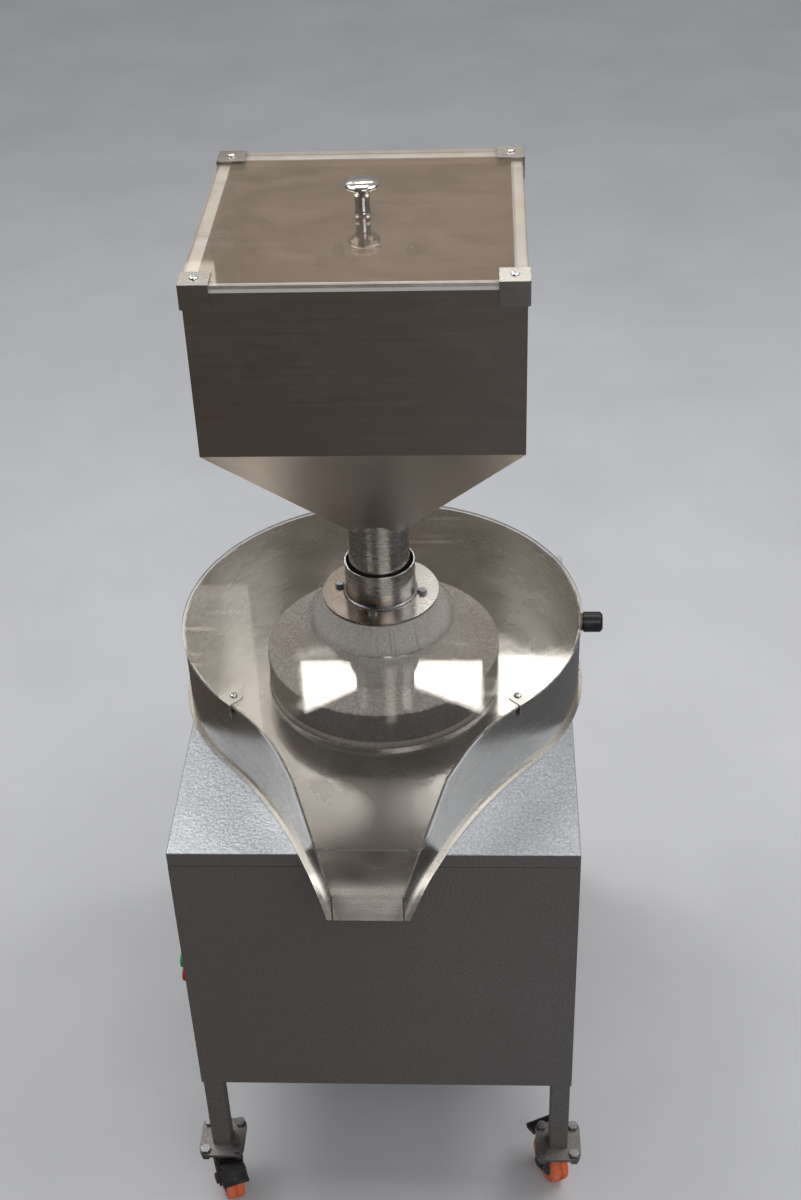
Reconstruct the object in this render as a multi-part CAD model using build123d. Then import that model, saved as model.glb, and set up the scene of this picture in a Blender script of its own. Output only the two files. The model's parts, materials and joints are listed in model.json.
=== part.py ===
from build123d import *
from math import asin, atan2, cos, degrees, hypot, pi, radians, sin, sqrt, tan
import os

# Electric stone mill on a cabinet with casters, in millimetres.
# The pieces are drawn in the mill's own frame: Z = 0 on the floor, the spindle axis at X = Y = 0,
# +X to the operator's right and -Y towards the operator, where the spout is.
# They are written out about the middle of the machine's outline on the floor.

# Cabinet
cabinet_width = 480.0
cabinet_top_z = 640.0
spindle_from_front = 327.0
rear_margin = 22.0
sheet = 1.5
top_lip = 20.0
panel_height = 394.0
panel_gap = 1.0
tube = 25.0
tube_wall = 2.0
tube_radius = 3.0

# Casters
wheel_diameter = 65.0
wheel_width = 28.0
wheel_bore = 8.1
wheel_groove = 3.0
caster_trail = 18.0
caster_plate = 60.0
caster_plate_thickness = 2.5
caster_corner = 12.0
caster_height = 89.0
pad_thickness = 3.0
pad_hole_x = 42.0
pad_hole_y = 44.0
caster_bolt = 8.0
fork_cheek = 2.5
fork_gap = 1.2
kingpin = 12.0
race_diameter = 42.0
race_gap = 0.3
# How far each caster has swivelled from trailing straight towards the front
front_left_swivel = 22.0
front_right_swivel = 205.0
rear_left_swivel = 40.0
rear_right_swivel = -30.0

# Stones
stone_radius = 149.0
bed_show = 14.0
bed_depth = 26.5
grinding_gap = 0.8
runner_thickness = 44.5
boss_foot_radius = 103.0
boss_top_radius = 76.0
boss_height = 77.0
eye_radius = 40.0
bed_bore_radius = 24.0
stone_chamfer = 1.5
harp_count = 10
furrow_width = 5.0
furrow_depth = 1.8
furrow_pitch = 15.0
furrow_inner = 56.0
furrow_outer = 136.0

# Feed collar on the runner stone
flange_radius = 73.0
flange_thickness = 4.0
collar_radius = 44.0
collar_wall = 2.0
collar_height = 47.0
weld_bead = 3.0
flange_bolt_circle = 53.0
flange_bolt = 6.0
flange_bolt_angle = -8.0
flange_bolt_bite = 20.0

# Spindle and its bearings
spindle_radius = 12.5
spindle_top_radius = 10.0
spindle_tail_radius = 12.0
running_clearance = 0.05
bearing_radius = 26.0
bearing_width = 15.0
housing_radius = 38.0
housing_flange_radius = 70.0
housing_flange_thickness = 10.0
housing_length = 72.0
carrier_length = 380.0
carrier_width = 330.0
carrier_thickness = 10.0
driver_length = 104.0
driver_width = 24.0
driver_thickness = 12.0
driver_lift = 2.0
housing_bolt = 10.0
housing_bolt_circle = 55.0

# Belt drive
belt_z = 492.0
belt_width = 12.5
belt_thickness = 8.0
belt_flank = 18.0
belt_gap = 0.4
driven_radius = 100.0
motor_pulley_radius = 35.0
pulley_width = 20.0
motor_distance = 190.0

# Motor
motor_radius = 68.0
motor_fin = 8.0
motor_fins = 20
motor_length = 190.0
motor_foot = 170.0
motor_foot_thickness = 8.0
motor_shaft_radius = 9.5
motor_shaft_socket = 60.0
motor_bolt = 8.0
fan_cover_height = 34.0
shelf_thickness = 4.0
shelf_depth = 290.0

# Bowl
bowl_radius = 251.0
bowl_sheet = 2.0
bowl_height = 101.0
floor_ledge = 5.0
shoulder_top_radius = 260.0
shoulder_foot_radius = 600.0
spout_angle = 24.0
spout_tip_half_width = 41.0
spout_reach = 417.0
spout_slope_start = 312.0
spout_end_height = 22.0
lip_bend = 378.0
lip_angle = 21.5
seat_ring_height = 4.0
seat_ring_wall = 1.5
seat_clearance = 0.5

# Clear cover on the bowl
cover_thickness = 3.0
cover_overhang = 2.5
cover_hole_radius = 94.0
cover_tongue = 377.0
tongue_corner = 8.0
tongue_gap = 0.4
tab_width = 22.0
tab_length = 26.0
tab_drop = 20.0
tab_sheet = 1.5
tab_screw = 5.0
tab_from_shoulder = 1.0

# Grip on the bowl's right side
grip_radius = 13.0
grip_length = 28.0
grip_collar_radius = 11.0
grip_collar = 4.0
grip_height = 88.0

# Hopper
hopper_width = 350.0
hopper_sheet = 1.5
hopper_box_height = 197.0
hopper_bend_height = 443.0
hopper_rim = 13.0
cone_angle = 36.6
neck_radius = 38.0
neck_wall = 1.5
neck_depth_in_collar = 38.0

# Hopper lid
lid_thickness = 4.0
lid_overhang = 1.0
corner_cap = 30.0
corner_cap_drop = 26.0
corner_cap_sheet = 2.0
corner_cap_chamfer = 5.0
lid_screw = 5.0
knob_height = 37.0
knob_cap_radius = 19.0
knob_stem_radius = 8.8

# Hopper post
post = 30.0
post_foot_z = 330.0
post_top_z = 1220.0
arm_z = 1130.0
arm_plate_width = 120.0
arm_plate_height = 90.0
arm_plate_thickness = 4.0
arm_bolt = 8.0

# Start and stop switch on the left panel
switch_y = -187.0
switch_z = 288.0
switch_width = 40.0
switch_height = 66.0
switch_case_depth = 29.0
switch_spigot_depth = 10.0
switch_spigot_inset = 6.0
button_radius = 9.5
button_pitch = 27.0
button_proud = 10.0
button_travel = 3.0
button_bore_clearance = 0.1

# Cable gland on the rear panel
gland_x = -150.0
gland_z = 275.0
gland_bore_radius = 5.0
gland_radius = 12.0
gland_length = 24.0
gland_nut = 6.0

# A hex head's height as a share of its thread
bolt_head_share = 0.64

# Rear panel
louvre_length = 90.0
louvre_rise = 120.0
louvre_x = 100.0
louvre_width = 6.0
louvre_pitch = 18.0
louvre_count = 6
cover_screw = 5.0

# Levels and faces that follow from the driving sizes
top_z = cabinet_top_z
floor_z = top_z + bowl_sheet
rim_z = floor_z + bowl_height
cabinet_depth = spindle_from_front + bowl_radius + rear_margin
front_y = -spindle_from_front
rear_y = front_y + cabinet_depth
half_width = cabinet_width / 2
leg_foot_z = caster_height + pad_thickness
panel_top_z = top_z - top_lip - panel_gap
panel_foot_z = panel_top_z - panel_height
frame_top_z = top_z - sheet
carrier_top_z = frame_top_z - tube
bed_bottom_z = carrier_top_z
bed_top_z = top_z + bed_show
runner_z = bed_top_z + grinding_gap
shoulder_z = runner_z + runner_thickness
boss_z = shoulder_z + boss_height
flange_z = boss_z + flange_thickness
collar_top_z = flange_z + collar_height
hopper_bend_z = top_z + hopper_bend_height
hopper_rim_z = hopper_bend_z + hopper_box_height
neck_foot_z = collar_top_z - neck_depth_in_collar
lid_z = hopper_rim_z + lid_thickness
shelf_z = panel_foot_z + tube
housing_top_z = carrier_top_z - carrier_thickness
housing_foot_z = housing_top_z - housing_length
driver_z = runner_z + driver_lift

# The middle of the machine's outline, which is the origin of the written pieces
outline_right = bowl_radius + grip_length
outline_left = half_width + switch_case_depth + button_proud
outline_front = spout_reach
outline_rear = rear_y + post + bolt_head_share * arm_bolt
origin_x = (outline_right - outline_left) / 2
origin_y = (outline_rear - outline_front) / 2

os.makedirs("parts", exist_ok=True)


def write(name, *solids):
    """Writes one sub-part about the middle of the outline."""
    bodies = []
    for item in solids:
        bodies.extend(item.solids())
    moved = [body.moved(Location((-origin_x, -origin_y, 0))) for body in bodies]
    shape = moved[0] if len(moved) == 1 else Compound(children=moved)
    export_step(shape, "parts/" + name + ".step")


def at(x=0.0, y=0.0, z=0.0):
    return Location((x, y, z))


def block(x0, x1, y0, y1, z0, z1):
    """A block between two corners."""
    size = (abs(x1 - x0), abs(y1 - y0), abs(z1 - z0))
    return at((x0 + x1) / 2, (y0 + y1) / 2, (z0 + z1) / 2) * Box(*size)


def disc(radius, z0, z1, x=0.0, y=0.0):
    """An upright cylinder between two heights."""
    return at(x, y, (z0 + z1) / 2) * Cylinder(radius, abs(z1 - z0))


def ring(outer, inner, z0, z1, x=0.0, y=0.0):
    margin = 1.0
    return disc(outer, z0, z1, x, y) - disc(inner, z0 - margin, z1 + margin, x, y)


def turned(points):
    """A solid of revolution about Z from (radius, height) points."""
    return revolve(Plane.XZ * make_face(Polyline(*points, close=True)), Axis.Z)


def side_profile(points, x0, x1):
    """A solid with an outline in the YZ plane, from x0 to x1."""
    face = Plane.YZ * make_face(Polyline(*points, close=True))
    return at(x0) * extrude(face, x1 - x0, dir=(1, 0, 0))


def square_tube(length, side=tube, wall=tube_wall):
    """A square tube along Z with rounded corners, foot at the origin."""
    outer = RectangleRounded(side, side, tube_radius)
    inner = RectangleRounded(side - 2 * wall, side - 2 * wall, tube_radius - wall + 0.5)
    return extrude(outer - inner, length)


def hex_bolt(size, length, washer=True):
    """A hex bolt along -Z whose head sits on Z = 0, with its washer under the head."""
    head_height = bolt_head_share * size
    washer_height = 0.18 * size if washer else 0.0
    head = extrude(RegularPolygon(0.9 * size, 6), head_height)
    head = at(0, 0, washer_height) * head
    shank = disc(size / 2, -length, washer_height)
    bolt = head + shank
    if washer:
        bolt += disc(0.98 * size, 0, washer_height)
    return bolt


def nut(size, z):
    """A hex nut under Z = z on a bolt's end."""
    outer = at(0, 0, z - 0.8 * size) * extrude(RegularPolygon(0.9 * size, 6), 0.8 * size)
    return outer - disc(size / 2, z - size, z + 1)


def pan_screw(size, length):
    """A domed screw along -Z whose head sits on Z = 0, with a cross-free round head."""
    head_radius = 0.95 * size
    head_height = 0.5 * size
    head = turned(
        [
            (0, 0),
            (head_radius, 0),
            (head_radius, 0.35 * head_height),
            (0.6 * head_radius, head_height),
            (0, head_height),
        ]
    )
    return head + disc(size / 2, -length, 0.1)


# Cabinet frame: four legs on pads, with rails at the top and at the foot of the panels
leg_x = half_width - sheet - tube / 2
leg_front_y = front_y + sheet + tube / 2
leg_rear_y = rear_y - sheet - tube / 2
leg_places = [(sx * leg_x, y) for y in (leg_front_y, leg_rear_y) for sx in (-1, 1)]
leg_length = frame_top_z - leg_foot_z
legs = [at(x, y, leg_foot_z) * square_tube(leg_length) for x, y in leg_places]

span_x = 2 * leg_x - tube
span_y = leg_rear_y - leg_front_y - tube
low_rail_z = panel_foot_z + tube / 2
high_rail_z = frame_top_z - tube / 2
rails = []
for z in (low_rail_z, high_rail_z):
    for y in (leg_front_y, leg_rear_y):
        rails.append(Location((-span_x / 2, y, z), (0, 90, 0)) * square_tube(span_x))
    for sx in (-1, 1):
        start = leg_front_y + tube / 2
        rails.append(Location((sx * leg_x, start, z), (-90, 0, 0)) * square_tube(span_y))

# Two bearers across the top frame carry the stones
bearer_x = carrier_length / 2 - tube / 2
for sx in (-1, 1):
    start = leg_front_y + tube / 2
    rails.append(Location((sx * bearer_x, start, high_rail_z), (-90, 0, 0)) * square_tube(span_y))


def pad_plate(thickness):
    """A caster plate outline with its four bolt holes, foot at the origin."""
    plate = extrude(RectangleRounded(caster_plate, caster_plate, caster_corner), thickness)
    for x, y in pad_holes():
        plate -= disc(caster_bolt / 2, -1, thickness + 1, x, y)
    return plate


def pad_holes():
    return [(sx * pad_hole_x / 2, sy * pad_hole_y / 2) for sx in (-1, 1) for sy in (-1, 1)]


pads = [at(x, y, caster_height) * pad_plate(pad_thickness) for x, y in leg_places]
write("legs", *legs, *pads)
write("frame_rails", *rails)

# Cabinet top: a folded pan with the opening for the bed stone
bed_opening = stone_radius + seat_clearance
top_outer = block(-half_width, half_width, front_y, rear_y, top_z - top_lip, top_z)
top_outer = fillet(top_outer.edges().filter_by(Axis.Z), sheet)
top_outer = fillet(top_outer.edges().group_by(Axis.Z)[-1], sheet)
top_inner = block(
    -half_width + sheet,
    half_width - sheet,
    front_y + sheet,
    rear_y - sheet,
    top_z - top_lip - 1,
    top_z - sheet,
)
write("cabinet_top", top_outer - top_inner - disc(bed_opening, top_z - 5, top_z + 5))

# Panels: front and rear over the full width, the sides between them
write(
    "front_panel",
    block(-half_width, half_width, front_y, front_y + sheet, panel_foot_z, panel_top_z),
)
side_panel = block(0, sheet, front_y + sheet, rear_y - sheet, panel_foot_z, panel_top_z)
write("right_panel", at(half_width - sheet) * side_panel)

switch_hole = block(
    -half_width - 1,
    -half_width + sheet + 1,
    switch_y - switch_width / 2 + switch_spigot_inset,
    switch_y + switch_width / 2 - switch_spigot_inset,
    switch_z - switch_height / 2 + switch_spigot_inset,
    switch_z + switch_height / 2 - switch_spigot_inset,
)
write("left_panel", at(-half_width) * side_panel - switch_hole)

# Rear panel: louvres for the motor's air, the gland's hole and six cover screws
rear_panel = block(-half_width, half_width, rear_y - sheet, rear_y, panel_foot_z, panel_top_z)
louvre_foot_z = panel_foot_z + louvre_rise
for sx in (-1, 1):
    for i in range(louvre_count):
        slot = SlotOverall(louvre_length, louvre_width)
        spot = Location((sx * louvre_x, rear_y + 5, louvre_foot_z + i * louvre_pitch), (90, 0, 0))
        rear_panel -= spot * extrude(slot, 10)
rear_gland_hole = Location((gland_x, rear_y + 5, gland_z), (90, 0, 0)) * Cylinder(gland_radius - 3, 20)
rear_panel -= rear_gland_hole
cover_screw_inset = 12.0
screw_heights = (
    panel_foot_z + cover_screw_inset,
    (panel_foot_z + panel_top_z) / 2,
    panel_top_z - cover_screw_inset,
)
screw_places = [(sx * (half_width - 14), z) for sx in (-1, 1) for z in screw_heights]
cover_screws = []
for x, z in screw_places:
    spot = Location((x, rear_y, z), (-90, 0, 0))
    cover_screws.append(spot * pan_screw(cover_screw, sheet))
    rear_panel -= spot * Cylinder(cover_screw / 2, 20)
write("rear_panel", rear_panel)
write("rear_panel_screws", *cover_screws)

# Motor shelf on the bottom rails, with four tension slots for the motor's foot
shelf_front = leg_front_y - tube / 2
motor_y = -motor_distance
motor_hole = motor_foot / 2 - 15.0
shelf = block(
    -leg_x + tube / 2,
    leg_x - tube / 2,
    shelf_front,
    shelf_front + shelf_depth,
    shelf_z,
    shelf_z + shelf_thickness,
)
for sx in (-1, 1):
    for sy in (-1, 1):
        slot = Rot(0, 0, 90) * SlotOverall(5 * motor_bolt / 2, motor_bolt)
        shelf -= at(sx * motor_hole, motor_y + sy * motor_hole, shelf_z - 1) * extrude(slot, 10)
write("motor_shelf", shelf)

# Motor: finned body with end shields and a square foot, fan cover above nothing: the fan is below
foot_z = shelf_z + shelf_thickness
body_z = foot_z + fan_cover_height
motor_top_z = body_z + motor_length
motor = disc(motor_radius, body_z, motor_top_z - 22, 0, motor_y)
shield = turned(
    [
        (0, motor_top_z - 22),
        (motor_radius + 4, motor_top_z - 22),
        (motor_radius + 4, motor_top_z - 10),
        (motor_radius - 20, motor_top_z),
        (0, motor_top_z),
    ]
)
motor += at(0, motor_y) * shield
for i in range(motor_fins):
    fin = block(motor_radius - 1, motor_radius + motor_fin, -1.2, 1.2, body_z + 12, motor_top_z - 30)
    motor += at(0, motor_y) * Rot(0, 0, 360 / motor_fins * (i + 0.5)) * fin
motor -= disc(
    motor_shaft_radius + running_clearance,
    motor_top_z - motor_shaft_socket,
    motor_top_z + 1,
    0,
    motor_y,
)
write("motor_body", motor)

# The foot and fan housing under the motor, one casting with a vented skirt
fan_housing = block(
    -motor_foot / 2,
    motor_foot / 2,
    motor_y - motor_foot / 2,
    motor_y + motor_foot / 2,
    foot_z,
    foot_z + motor_foot_thickness,
)
fan_housing += disc(motor_radius + 4, foot_z, body_z, 0, motor_y)
fan_vents = 8
for i in range(fan_vents):
    vent = block(motor_radius - 20, motor_radius + 10, -9, 9, foot_z + 14, foot_z + 26)
    fan_housing -= at(0, motor_y) * Rot(0, 0, 360 / fan_vents * (i + 0.5)) * vent
for sx in (-1, 1):
    for sy in (-1, 1):
        x = sx * motor_hole
        y = motor_y + sy * motor_hole
        fan_housing -= disc(motor_bolt / 2, foot_z - 1, foot_z + motor_foot_thickness + 1, x, y)
write("motor_fan_housing", fan_housing)

terminal_box_width = 70.0
terminal_box_depth = 30.0
terminal_box = block(
    motor_radius + motor_fin,
    motor_radius + motor_fin + terminal_box_depth,
    motor_y - terminal_box_width / 2,
    motor_y + terminal_box_width / 2,
    body_z + 60,
    body_z + 60 + terminal_box_width,
)
write("motor_terminal_box", fillet(terminal_box.edges().filter_by(Axis.X), 6))

motor_bolts = []
bolt_under = shelf_thickness + motor_foot_thickness
for sx in (-1, 1):
    for sy in (-1, 1):
        bolt = hex_bolt(motor_bolt, bolt_under + 9, washer=False) + nut(motor_bolt, -bolt_under)
        spot = at(sx * motor_hole, motor_y + sy * motor_hole, foot_z + motor_foot_thickness)
        motor_bolts.append(spot * bolt)
write("motor_bolts", *motor_bolts)


def pulley(radius, bore, z):
    """A V pulley about Z whose groove is centred on the belt's plane."""
    half = pulley_width / 2
    mouth = belt_width / 2 + belt_gap
    depth = belt_thickness + 2 * belt_gap + 1.0
    bottom = mouth - depth * tan(radians(belt_flank))
    rim = radius + 1.0
    return turned(
        [
            (bore, z - half),
            (rim, z - half),
            (rim, z - mouth),
            (rim - depth, z - bottom),
            (rim - depth, z + bottom),
            (rim, z + mouth),
            (rim, z + half),
            (bore, z + half),
        ]
    )


driven_pulley = pulley(driven_radius, spindle_tail_radius, belt_z)
lightening_holes = 6
for i in range(lightening_holes):
    hole = disc(17.0, belt_z - 20, belt_z + 20, 54.0, 0)
    driven_pulley -= Rot(0, 0, 360 / lightening_holes * i) * hole
write("driven_pulley", driven_pulley)
write("motor_pulley", at(0, motor_y) * pulley(motor_pulley_radius, motor_shaft_radius, belt_z))
write(
    "motor_shaft",
    disc(
        motor_shaft_radius,
        motor_top_z - motor_shaft_socket + 0.5,
        belt_z + pulley_width / 2 + 4,
        0,
        motor_y,
    ),
)


def belt_loop(growth):
    """The outline of the belt round both pulleys, grown by a distance."""
    large = driven_radius + growth
    small = motor_pulley_radius + growth
    lean = asin((large - small) / motor_distance)
    right = (cos(lean), -sin(lean))
    points = []
    for sx in (1, -1):
        points.append((sx * large * right[0], large * right[1]))
        points.append((sx * small * right[0], motor_y + small * right[1]))
    outline = [
        ThreePointArc(points[0], (0, large), points[2]),
        Line(points[2], points[3]),
        ThreePointArc(points[3], (0, motor_y - small), points[1]),
        Line(points[1], points[0]),
    ]
    return make_face(Curve() + outline)


belt_outer = at(0, 0, belt_z - belt_width / 2) * extrude(belt_loop(0), belt_width, dir=(0, 0, 1))
flank_growth = belt_thickness
inner_half = belt_width / 2 - belt_thickness * tan(radians(belt_flank))
belt_core = at(0, 0, belt_z - inner_half) * extrude(
    belt_loop(-belt_thickness),
    2 * inner_half,
    dir=(0, 0, 1),
)
for side in (1, -1):
    low = at(0, 0, belt_z + side * inner_half) * belt_loop(-belt_thickness)
    high = at(0, 0, belt_z + side * belt_width / 2) * belt_loop(0)
    belt_core += loft([low, high], ruled=True)
write("drive_belt", belt_outer - belt_core)

# Carrier plate under the bearers, the bearing housing hung from it and the spindle
carrier = block(
    -carrier_length / 2,
    carrier_length / 2,
    -carrier_width / 2,
    carrier_width / 2,
    housing_top_z,
    carrier_top_z,
)
carrier -= disc(bed_bore_radius, housing_top_z - 1, carrier_top_z + 1)
housing_bolt_places = []
for i in range(4):
    angle = radians(45 + 90 * i)
    place = (housing_bolt_circle * cos(angle), housing_bolt_circle * sin(angle))
    housing_bolt_places.append(place)
    carrier -= disc(housing_bolt / 2, housing_top_z - 1, carrier_top_z + 1, *place)
write("stone_carrier", carrier)

housing = disc(housing_flange_radius, housing_top_z - housing_flange_thickness, housing_top_z)
housing += disc(housing_radius, housing_foot_z, housing_top_z)
housing -= disc(bearing_radius - 4, housing_foot_z - 1, housing_top_z + 1)
upper_bearing_z = housing_top_z - bearing_width
lower_bearing_z = housing_foot_z
housing -= disc(bearing_radius, upper_bearing_z, housing_top_z + 1)
housing -= disc(bearing_radius, housing_foot_z - 1, lower_bearing_z + bearing_width)
for x, y in housing_bolt_places:
    housing -= disc(housing_bolt / 2, housing_foot_z, housing_top_z + 1, x, y)
write("bearing_housing", housing)

bearing_bore = spindle_radius + running_clearance
write(
    "spindle_bearings",
    ring(bearing_radius, bearing_bore, upper_bearing_z, housing_top_z),
    ring(bearing_radius, bearing_bore, lower_bearing_z, lower_bearing_z + bearing_width),
)
housing_bolts = []
for x, y in housing_bolt_places:
    bolt = hex_bolt(housing_bolt, carrier_thickness + housing_flange_thickness, washer=False)
    spot = Location((x, y, housing_top_z - housing_flange_thickness), (180, 0, 0))
    housing_bolts.append(spot * bolt)
write("housing_bolts", *housing_bolts)

spindle_shoulder_z = driver_z - 3.0
spindle = disc(spindle_radius, housing_foot_z - 2, spindle_shoulder_z)
spindle += disc(spindle_tail_radius, belt_z - pulley_width / 2 - 6, housing_foot_z - 2)
spindle += disc(spindle_top_radius, spindle_shoulder_z, driver_z + driver_thickness + 6)
write("spindle", spindle)

seal_height = 10.0
seal_z = bed_bottom_z + 4.0
write(
    "spindle_seal",
    ring(bed_bore_radius, spindle_radius + running_clearance, seal_z, seal_z + seal_height),
)


def dressed(face_z, depth):
    """The furrows of a grinding face: harps of three, each tangent to a small circle."""
    cuts = []
    lead = 26.0
    for i in range(harp_count):
        for j in range(3):
            offset = lead + j * furrow_pitch
            start = sqrt(max(furrow_inner**2 - offset**2, 0)) + 14.0 * j
            end = sqrt(furrow_outer**2 - offset**2)
            cut = block(
                offset - furrow_width / 2,
                offset + furrow_width / 2,
                start,
                end,
                face_z - depth,
                face_z + depth,
            )
            cuts.append(Rot(0, 0, 360 / harp_count * i) * cut)
    return cuts


# Bed stone, let into the cabinet top, and runner stone with its conical boss
bed = turned(
    [
        (bed_bore_radius, bed_bottom_z),
        (stone_radius, bed_bottom_z),
        (stone_radius, bed_top_z - stone_chamfer),
        (stone_radius - stone_chamfer, bed_top_z),
        (bed_bore_radius, bed_top_z),
    ]
)
for cut in dressed(bed_top_z, furrow_depth):
    bed -= cut
write("bed_stone", bed)

runner = turned(
    [
        (eye_radius, runner_z),
        (stone_radius - stone_chamfer, runner_z),
        (stone_radius, runner_z + stone_chamfer),
        (stone_radius, shoulder_z - stone_chamfer),
        (stone_radius - stone_chamfer, shoulder_z),
        (boss_foot_radius, shoulder_z),
        (boss_top_radius, boss_z),
        (eye_radius, boss_z),
    ]
)
boss_edge = runner.edges().filter_by(GeomType.CIRCLE)
boss_edge = [e for e in boss_edge if abs(e.radius - boss_foot_radius) < 0.1]
runner = fillet(boss_edge, 10)
for cut in dressed(runner_z, furrow_depth):
    runner -= cut
runner -= block(
    -driver_length / 2,
    driver_length / 2,
    -driver_width / 2,
    driver_width / 2,
    runner_z - 1,
    driver_z + driver_thickness,
)

# Driver: the bar let into the runner's underside, with a boss on the spindle's end
driver = block(
    -driver_length / 2,
    driver_length / 2,
    -driver_width / 2,
    driver_width / 2,
    driver_z,
    driver_z + driver_thickness,
)
driver += disc(spindle_top_radius + 8, driver_z, driver_z + driver_thickness + 5)
driver -= disc(spindle_top_radius, driver_z - 1, driver_z + driver_thickness + 6)
write("stone_driver", driver)

# Feed collar: flange, tube and the weld bead between them
collar = ring(flange_radius, collar_radius - collar_wall, boss_z, flange_z)
collar += ring(collar_radius, collar_radius - collar_wall, flange_z, collar_top_z)
bead = turned(
    [
        (collar_radius - 0.5, flange_z),
        (collar_radius + weld_bead, flange_z),
        (collar_radius + 0.7 * weld_bead, flange_z + 0.7 * weld_bead),
        (collar_radius - 0.5, flange_z + weld_bead),
    ]
)
collar += bead
flange_bolts = []
flange_bolt_length = flange_thickness + flange_bolt_bite
for i in range(4):
    angle = radians(flange_bolt_angle + 90 * i)
    x = flange_bolt_circle * cos(angle)
    y = flange_bolt_circle * sin(angle)
    collar -= disc(flange_bolt / 2, boss_z - 1, flange_z + 1, x, y)
    runner -= disc(flange_bolt / 2, flange_z - flange_bolt_length, flange_z + 1, x, y)
    flange_bolts.append(at(x, y, flange_z) * hex_bolt(flange_bolt, flange_bolt_length))
write("feed_collar", collar)
write("flange_bolts", *flange_bolts)
write("runner_stone", runner)


def shoulder_centre(shoulder):
    """The centre of the right shoulder, which touches the bowl's circle and the spout's side."""
    lean = radians(spout_angle)
    along = (sin(lean), cos(lean))
    outward = (cos(lean), -sin(lean))
    base = (
        spout_tip_half_width + shoulder * outward[0],
        -spout_reach + shoulder * outward[1],
    )
    dot = base[0] * along[0] + base[1] * along[1]
    gap = hypot(*base) ** 2 - (bowl_radius + shoulder) ** 2
    slide = -dot - sqrt(dot**2 - gap)
    return (base[0] + slide * along[0], base[1] + slide * along[1])


def bowl_outline(shoulder, offset=0.0, reach=spout_reach, z=0.0):
    """The bowl's plan: a circle run out into a narrowing spout by two hollow shoulders."""
    lean = radians(spout_angle)
    along = (sin(lean), cos(lean))
    outward = (cos(lean), -sin(lean))
    centre = shoulder_centre(shoulder)
    round_r = bowl_radius + offset
    hollow_r = shoulder - offset
    share = round_r / (bowl_radius + shoulder)
    on_circle = (centre[0] * share, centre[1] * share)
    on_side = (centre[0] - hollow_r * outward[0], centre[1] - hollow_r * outward[1])
    angle_a = atan2(on_circle[1] - centre[1], on_circle[0] - centre[0])
    angle_b = atan2(on_side[1] - centre[1], on_side[0] - centre[0])
    if angle_a < 0:
        angle_a += 2 * pi
    if angle_b < 0:
        angle_b += 2 * pi
    middle = (angle_a + angle_b) / 2
    on_hollow = (centre[0] + hollow_r * cos(middle), centre[1] + hollow_r * sin(middle))
    past = (reach - spout_reach + offset * outward[1]) / along[1]
    tip = (
        spout_tip_half_width + offset * outward[0] - past * along[0],
        -reach,
    )

    def mirrored(point):
        return (-point[0], point[1])

    outline = [
        ThreePointArc(on_circle, (0, round_r), mirrored(on_circle)),
        ThreePointArc(mirrored(on_circle), mirrored(on_hollow), mirrored(on_side)),
        Line(mirrored(on_side), mirrored(tip)),
        Line(mirrored(tip), tip),
        Line(tip, on_side),
        ThreePointArc(on_side, on_hollow, on_circle),
    ]
    return at(0, 0, z) * make_face(Curve() + outline)


# Bowl floor: a flat plate whose front is bent down into the lip
lip_drop = (spout_reach - lip_bend) * tan(radians(lip_angle))
big = 2 * bowl_radius
floor_strip = side_profile(
    [
        (big, top_z),
        (-lip_bend, top_z),
        (-spout_reach - 10, top_z - lip_drop * (spout_reach + 10 - lip_bend) / (spout_reach - lip_bend)),
        (
            -spout_reach - 10,
            floor_z - lip_drop * (spout_reach + 10 - lip_bend) / (spout_reach - lip_bend),
        ),
        (-lip_bend, floor_z),
        (big, floor_z),
    ],
    -big,
    big,
)
floor_outline = bowl_outline(shoulder_foot_radius, floor_ledge, z=top_z - 60)
bowl_floor = floor_strip & extrude(floor_outline, 80, dir=(0, 0, 1))
bowl_floor -= disc(bed_opening, top_z - 5, floor_z + 5)
write("bowl_floor", bowl_floor)

# Bowl wall: ruled between the foot's plan and the rim's, lower along the spout
outer_wall = loft(
    [
        bowl_outline(shoulder_foot_radius, 0, z=floor_z),
        bowl_outline(shoulder_top_radius, 0, z=rim_z),
    ],
    ruled=True,
)
inner_wall = loft(
    [
        bowl_outline(shoulder_foot_radius, -bowl_sheet, spout_reach + 30, z=floor_z),
        bowl_outline(shoulder_top_radius, -bowl_sheet, spout_reach + 30, z=rim_z),
    ],
    ruled=True,
)
wall = outer_wall - inner_wall
skirt = extrude(bowl_outline(shoulder_foot_radius, 0, z=floor_z - 40), 40, dir=(0, 0, 1))
inner_skirt = bowl_outline(shoulder_foot_radius, -bowl_sheet, spout_reach + 30, z=floor_z - 41)
skirt -= extrude(inner_skirt, 42, dir=(0, 0, 1))
skirt &= side_profile(
    [
        (-lip_bend, floor_z),
        (-spout_reach - 10, floor_z - lip_drop * (spout_reach + 10 - lip_bend) / (spout_reach - lip_bend)),
        (-spout_reach - 10, floor_z),
    ],
    -big,
    big,
)
wall += skirt
slope = (rim_z - floor_z - spout_end_height) / (spout_reach - spout_slope_start)
wall -= side_profile(
    [
        (-spout_slope_start, rim_z),
        (-spout_reach - 20, rim_z - slope * (spout_reach + 20 - spout_slope_start)),
        (-spout_reach - 20, rim_z + 10),
        (-spout_slope_start, rim_z + 10),
    ],
    -big,
    big,
)
write("bowl_wall", wall)

write(
    "seat_ring",
    ring(
        bed_opening + seat_ring_wall,
        bed_opening,
        floor_z,
        floor_z + seat_ring_height,
    ),
)

# Clear cover: flat over the bowl, bent down along the spout
cover_slope = atan2(rim_z - floor_z - spout_end_height, spout_reach - spout_slope_start)
lift = tongue_gap / cos(cover_slope)
sheet_up = cover_thickness / cos(cover_slope)


def cover_side(y, extra):
    """The height of the tongue's underside at y, plus a rise."""
    return rim_z - slope * (y - spout_slope_start) + extra


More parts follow.
